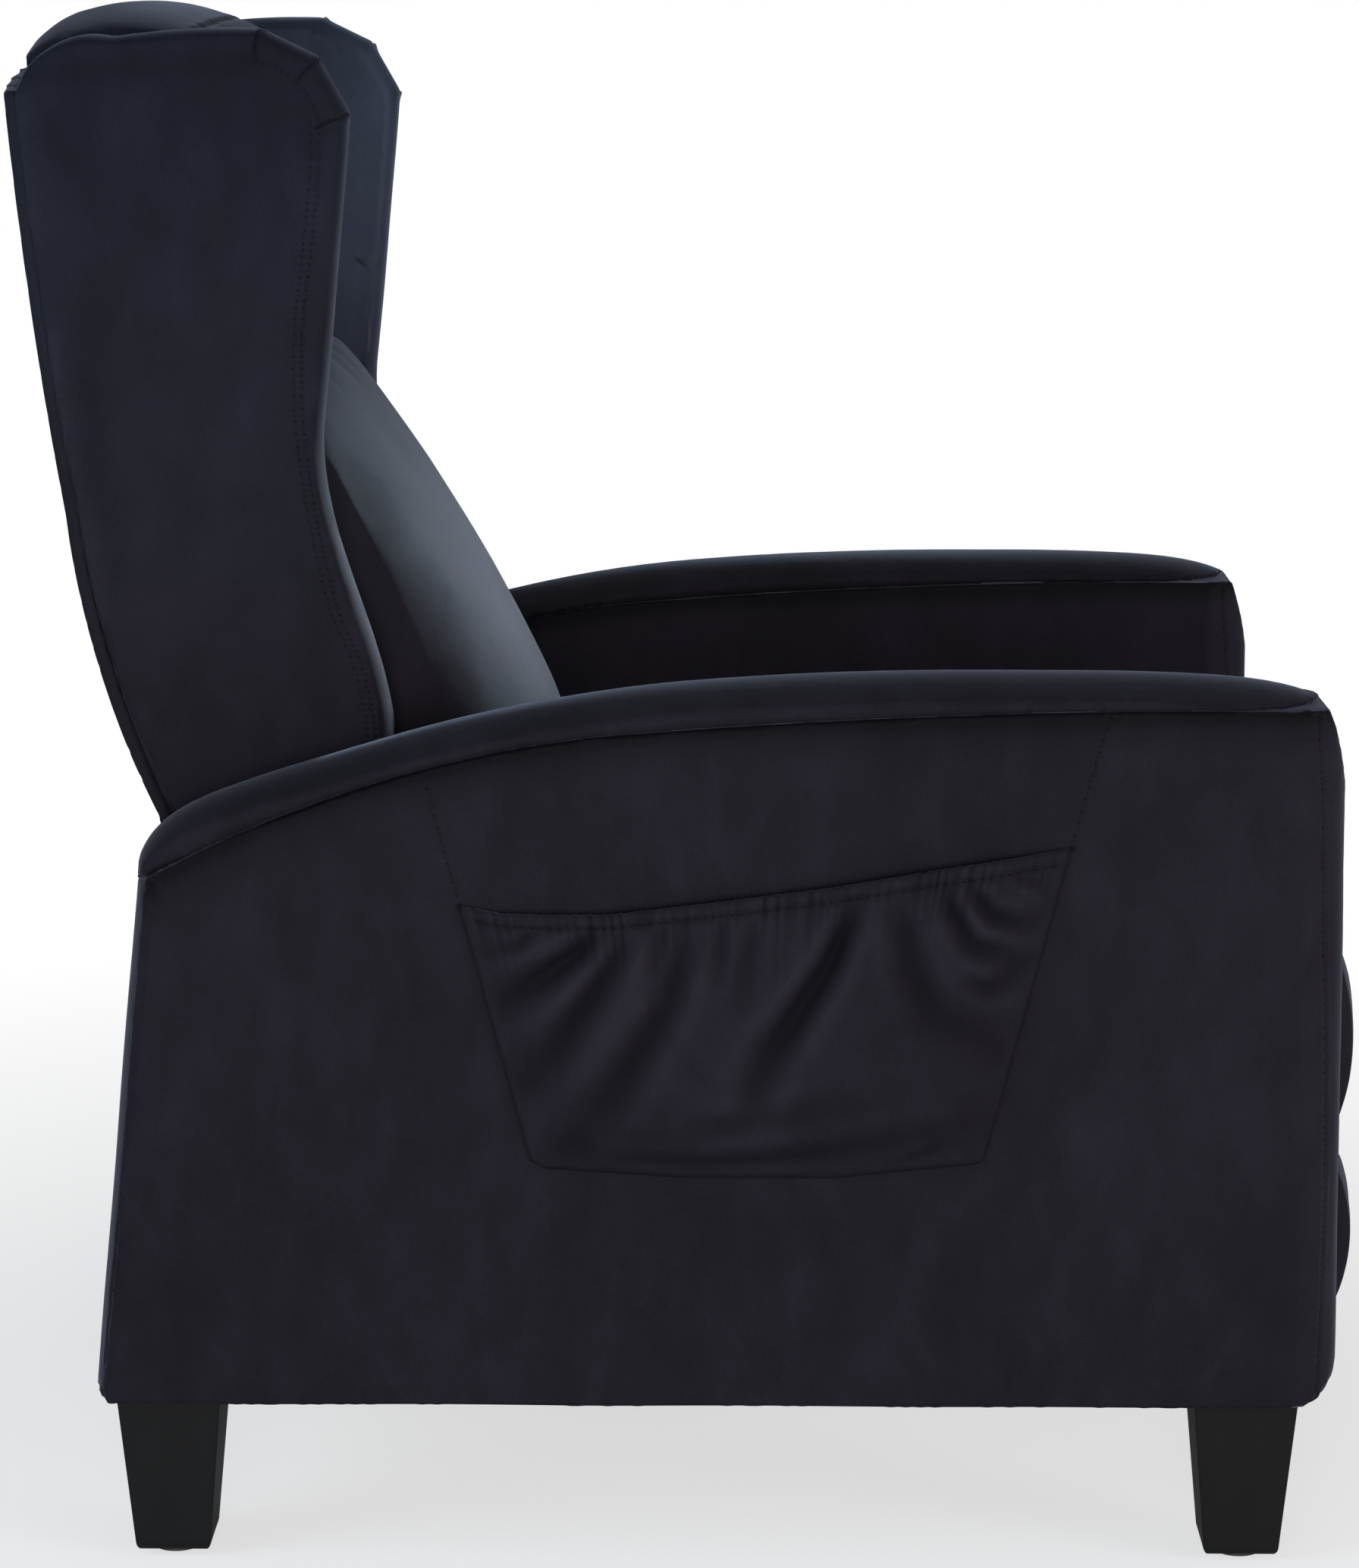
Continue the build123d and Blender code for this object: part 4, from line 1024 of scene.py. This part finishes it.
pocketRight = pocket()
tree = surface(pocketRight)
bm = bmesh.new()
hemShare = 1 - pocketLook["hem"] / pocketLook["height"]
hemSteps = 200
hemLine = [pocketPlace(step / hemSteps, hemShare) for step in range(2, hemSteps - 1)]
stitches(bm, tree, onSurface(tree, [Vector((0, y / 1000, z / 1000)) for y, z in hemLine], (1, 0, 0)))
threadPair(bm, "base", "hemStitches")
for side, cloth in (("right", pocketRight), ("left", mirrored(pocketRight, "sidePocketLeft"))):
    dress(cloth, "base", "pocket_velvet", ["side_pocket_" + side])
print("pockets ready", len(pocketRight.data.polygons))

# wings
wingLook = {
    "voxel": 0.0040, "relax": 2, "snap": 0.93,
    "rear": [(452, 990), (445, 891), (440, 845), (429, 773), (418, 705), (404, 626), (388.5, 560),
             (375, 520)],
    "topCrease": [(447.8, 984.5), (435.5, 992.9), (403.4, 997.9), (360.3, 1001.4), (313.3, 1003.4),
                  (288.2, 1004.8)],
    "frontSeam": [(288.2, 1004.8), (271.8, 1001.4), (259.5, 992.5), (247.2, 975.2), (243.9, 962.4),
                  (244.7, 947.5), (244.6, 935.1), (249.8, 885.8), (254.9, 847.7), (257.2, 825.0),
                  (257.8, 775.0), (251.9, 717.0), (244.3, 675.5), (234.6, 636.4), (221.3, 603.9),
                  (214.0, 575.3), (212, 548), (226, 505)],
    "pleats": [[(282.5, 1028), (283.1, 1024), (283.7, 1020.9), (284.8, 1015.0), (285.4, 1006.5)],
               [(243.5, 1008.5), (245.4, 1005.7), (250.0, 1000.7), (254.1, 996.3), (257.0, 991.3)],
               [(226, 970), (232.0, 967.3), (236.5, 965.6), (240.6, 963.6), (244.5, 961.6)]],
    "stitchIn": 5.4, "lineFrom": 4, "threadFrom": 26, "rearIn": -8, "coreAbove": 0.482,
    "wave": 0.0007, "waveSize": 0.10, "seed": 7.7, "fine": 0.008, "cuts": 3,
    "crease": {"depth": 0.0016, "width": 0.0050, "pucker": 0.0002, "pitch": 0.031},
    "seam": {"depth": 0.0010, "width": 0.0012, "pucker": 0.00015, "pitch": 0.019},
    "topstitch": {"depth": 0.0008, "width": 0.0011, "pucker": 0.0001, "pitch": 0.013},
    "fold": {"depth": 0.0022, "width": 0.0011, "lift": 0.0017},
    "rearFill": 0.080, "outerFrom": 0.219, "outerOver": 0.023, "outerCurve": 2.2, "middle": 0.325,
    "rearFrom": 0.33, "rearOver": 0.06,
    # painted light: a painted highlight along the rear edge, painted shade in the top crease, the seam, the
    # topstitch line and the pleats
    "rearHighlight": (0.22, 0.010), "creaseShade": (-0.10, 0.008), "seamShade": (-0.18, 0.0011),
    "stitchLineShade": (-0.15, 0.0010), "pleatShade": (-0.2, 0.0012),
}


def squareRear(obj):
    # the outer panel reaches back to the outside back, with no rounding between them
    look = wingLook
    found = points(obj)
    outer = np.clip((-found[:, 0] - look["outerFrom"]) / look["outerOver"], 0, 1)
    share = look["rearFill"] * outer ** look["outerCurve"]
    rear = eased((found[:, 1] - look["rearFrom"]) / look["rearOver"])
    found[:, 1] += (found[:, 1] - look["middle"]) * share / (1 - share) * rear
    setPoints(obj, found)


def wing():
    look = wingLook
    obj = blank("wingRight", "wing_right", look["voxel"], look["relax"], look["snap"],
                plug={"node": "wing_frame_right", "above": look["coreAbove"]})
    squareRear(obj)
    undulate(obj, look["wave"], look["waveSize"], look["seed"])
    tree = surface(obj)
    seam = fromOutside(tree, sideRoute(look["frontSeam"]))
    line = fromOutside(tree, sideRoute(look["frontSeam"][look["lineFrom"]:], look["stitchIn"]))
    crease = fromOutside(tree, sideRoute(look["topCrease"]))
    pleats = [fromOutside(tree, sideRoute(route, step=0.001)) for route in look["pleats"]]
    refine(obj, [seam, line] + pleats, look["fine"], look["cuts"])
    groove(obj, crease, look["crease"])
    groove(obj, seam, look["seam"])
    groove(obj, line, look["topstitch"])
    for path in pleats:
        pleat(obj, path, look["fold"])
    tree = surface(obj)
    bm = bmesh.new()
    for path in (seam[look["threadFrom"]:], line):
        stitches(bm, tree, path)
    threadPair(bm, "back", "wingStitches")
    rear = fromOutside(tree, sideRoute(look["rear"], look["rearIn"]))
    # painted highlight on the rear edge, painted shade in the crease, seams and pleats
    paintLightMarks(obj, [(rear, *look["rearHighlight"]), (crease, *look["creaseShade"]), (seam, *look["seamShade"]),
                 (line, *look["stitchLineShade"])] + [(path, *look["pleatShade"]) for path in pleats])
    return obj


wingRight = wing()
for side, piece in (("right", wingRight), ("left", mirrored(wingRight, "wingLeft"))):
    dress(piece, "back", "velvet", ["wing_" + side], paintedLightVelvet)
print("wings ready", len(wingRight.data.polygons))

# cushions and rolls: swollen by the cloth simulation
cushionLook = {
    "lumbarCushion": {"node": "lumbar_cushion", "body": "back", "voxel": 0.0060, "inset": 0.010, "cap": 0.024,
                      "free": (0, -1, 0.2), "proud": 0.0, "fit": 0.80, "fill": 0.8},
    "headCushion": {"node": "head_cushion", "body": "back", "voxel": 0.0055, "inset": 0.009, "cap": 0.022,
                    "free": (0, -0.6, 1), "proud": 0.0015, "fit": 0.85, "fill": 0.8,
                    "seam": {"at": (0.330, 1.028), "towards": (0, 0.75, -0.65), "reach": 185}},
    "seatCushion": {"node": "seat_cushion", "body": "seat", "voxel": 0.0064, "inset": 0.009, "cap": 0.022,
                    "free": (0, -0.5, 1), "proud": 0.0010, "fit": 0.70, "fill": 0.8,
                    "seam": {"at": (-0.405, 0.452), "towards": (0, 0.7, -0.7), "reach": 225}},
}
for level in ("Upper", "Lower"):
    cushionLook["footrest" + level + "Roll"] = {
        "node": "footrest_" + level.lower() + "_roll", "body": "footrest", "voxel": 0.0055, "inset": 0.007,
        "cap": 0.022, "free": (0, -1, 0), "proud": 0.0015, "fit": 0.80, "fill": 0.7}
foamLook = {"pressure": 4.0, "wave": 0.0008, "waveSize": 0.07, "seed": 1.7, "step": 20, "start": 0.3,
            "fine": 0.010}
crossSeam = {"depth": 0.0018, "width": 0.0018, "pucker": 0.0003, "pitch": 0.023}


def crossSewn(piece, seam):
    # a seam across a cushion's front edge, at (y, z) in metres
    y, z = seam["at"]
    route = smoothPath([(x / 1000, y, z) for x in range(-seam["reach"], seam["reach"] + 1, foamLook["step"])])
    path = onSurface(surface(piece), route, Vector(seam["towards"]).normalized(), foamLook["start"])
    refine(piece, [path], foamLook["fine"], 1)
    groove(piece, path, crossSeam)


for name, pad in cushionLook.items():
    piece = blank(name, pad["node"], pad["voxel"])
    swell(piece, pad, BVHTree.FromBMesh(cadForm(pad["node"])))
    undulate(piece, foamLook["wave"], foamLook["waveSize"], foamLook["seed"])
    if "seam" in pad:
        crossSewn(piece, pad["seam"])
    smooth = piece.modifiers.new("smooth", "SUBSURF")
    smooth.levels = 1
    smooth.render_levels = 1
    dress(piece, pad["body"], "velvet", [pad["node"]])
    print(name, "ready", len(piece.data.polygons))

# outside back and rear panel
panelLook = {
    "snap": 0.93, "wave": 0.0007, "waveSize": 0.12, "seed": 5.3, "fill": 0.3,
    "pieces": {"outsideBack": {"node": "outside_back", "body": "back", "voxel": 0.0038},
               "rearBasePanel": {"node": "rear_base_panel", "body": "base", "voxel": 0.0045}},
}
for name, panel in panelLook["pieces"].items():
    piece = blank(name, panel["node"], panel["voxel"], snap=panelLook["snap"])
    undulate(piece, panelLook["wave"], panelLook["waveSize"], panelLook["seed"])
    dress(piece, panel["body"], "velvet", [panel["node"]])
    print(name, "ready", len(piece.data.polygons))
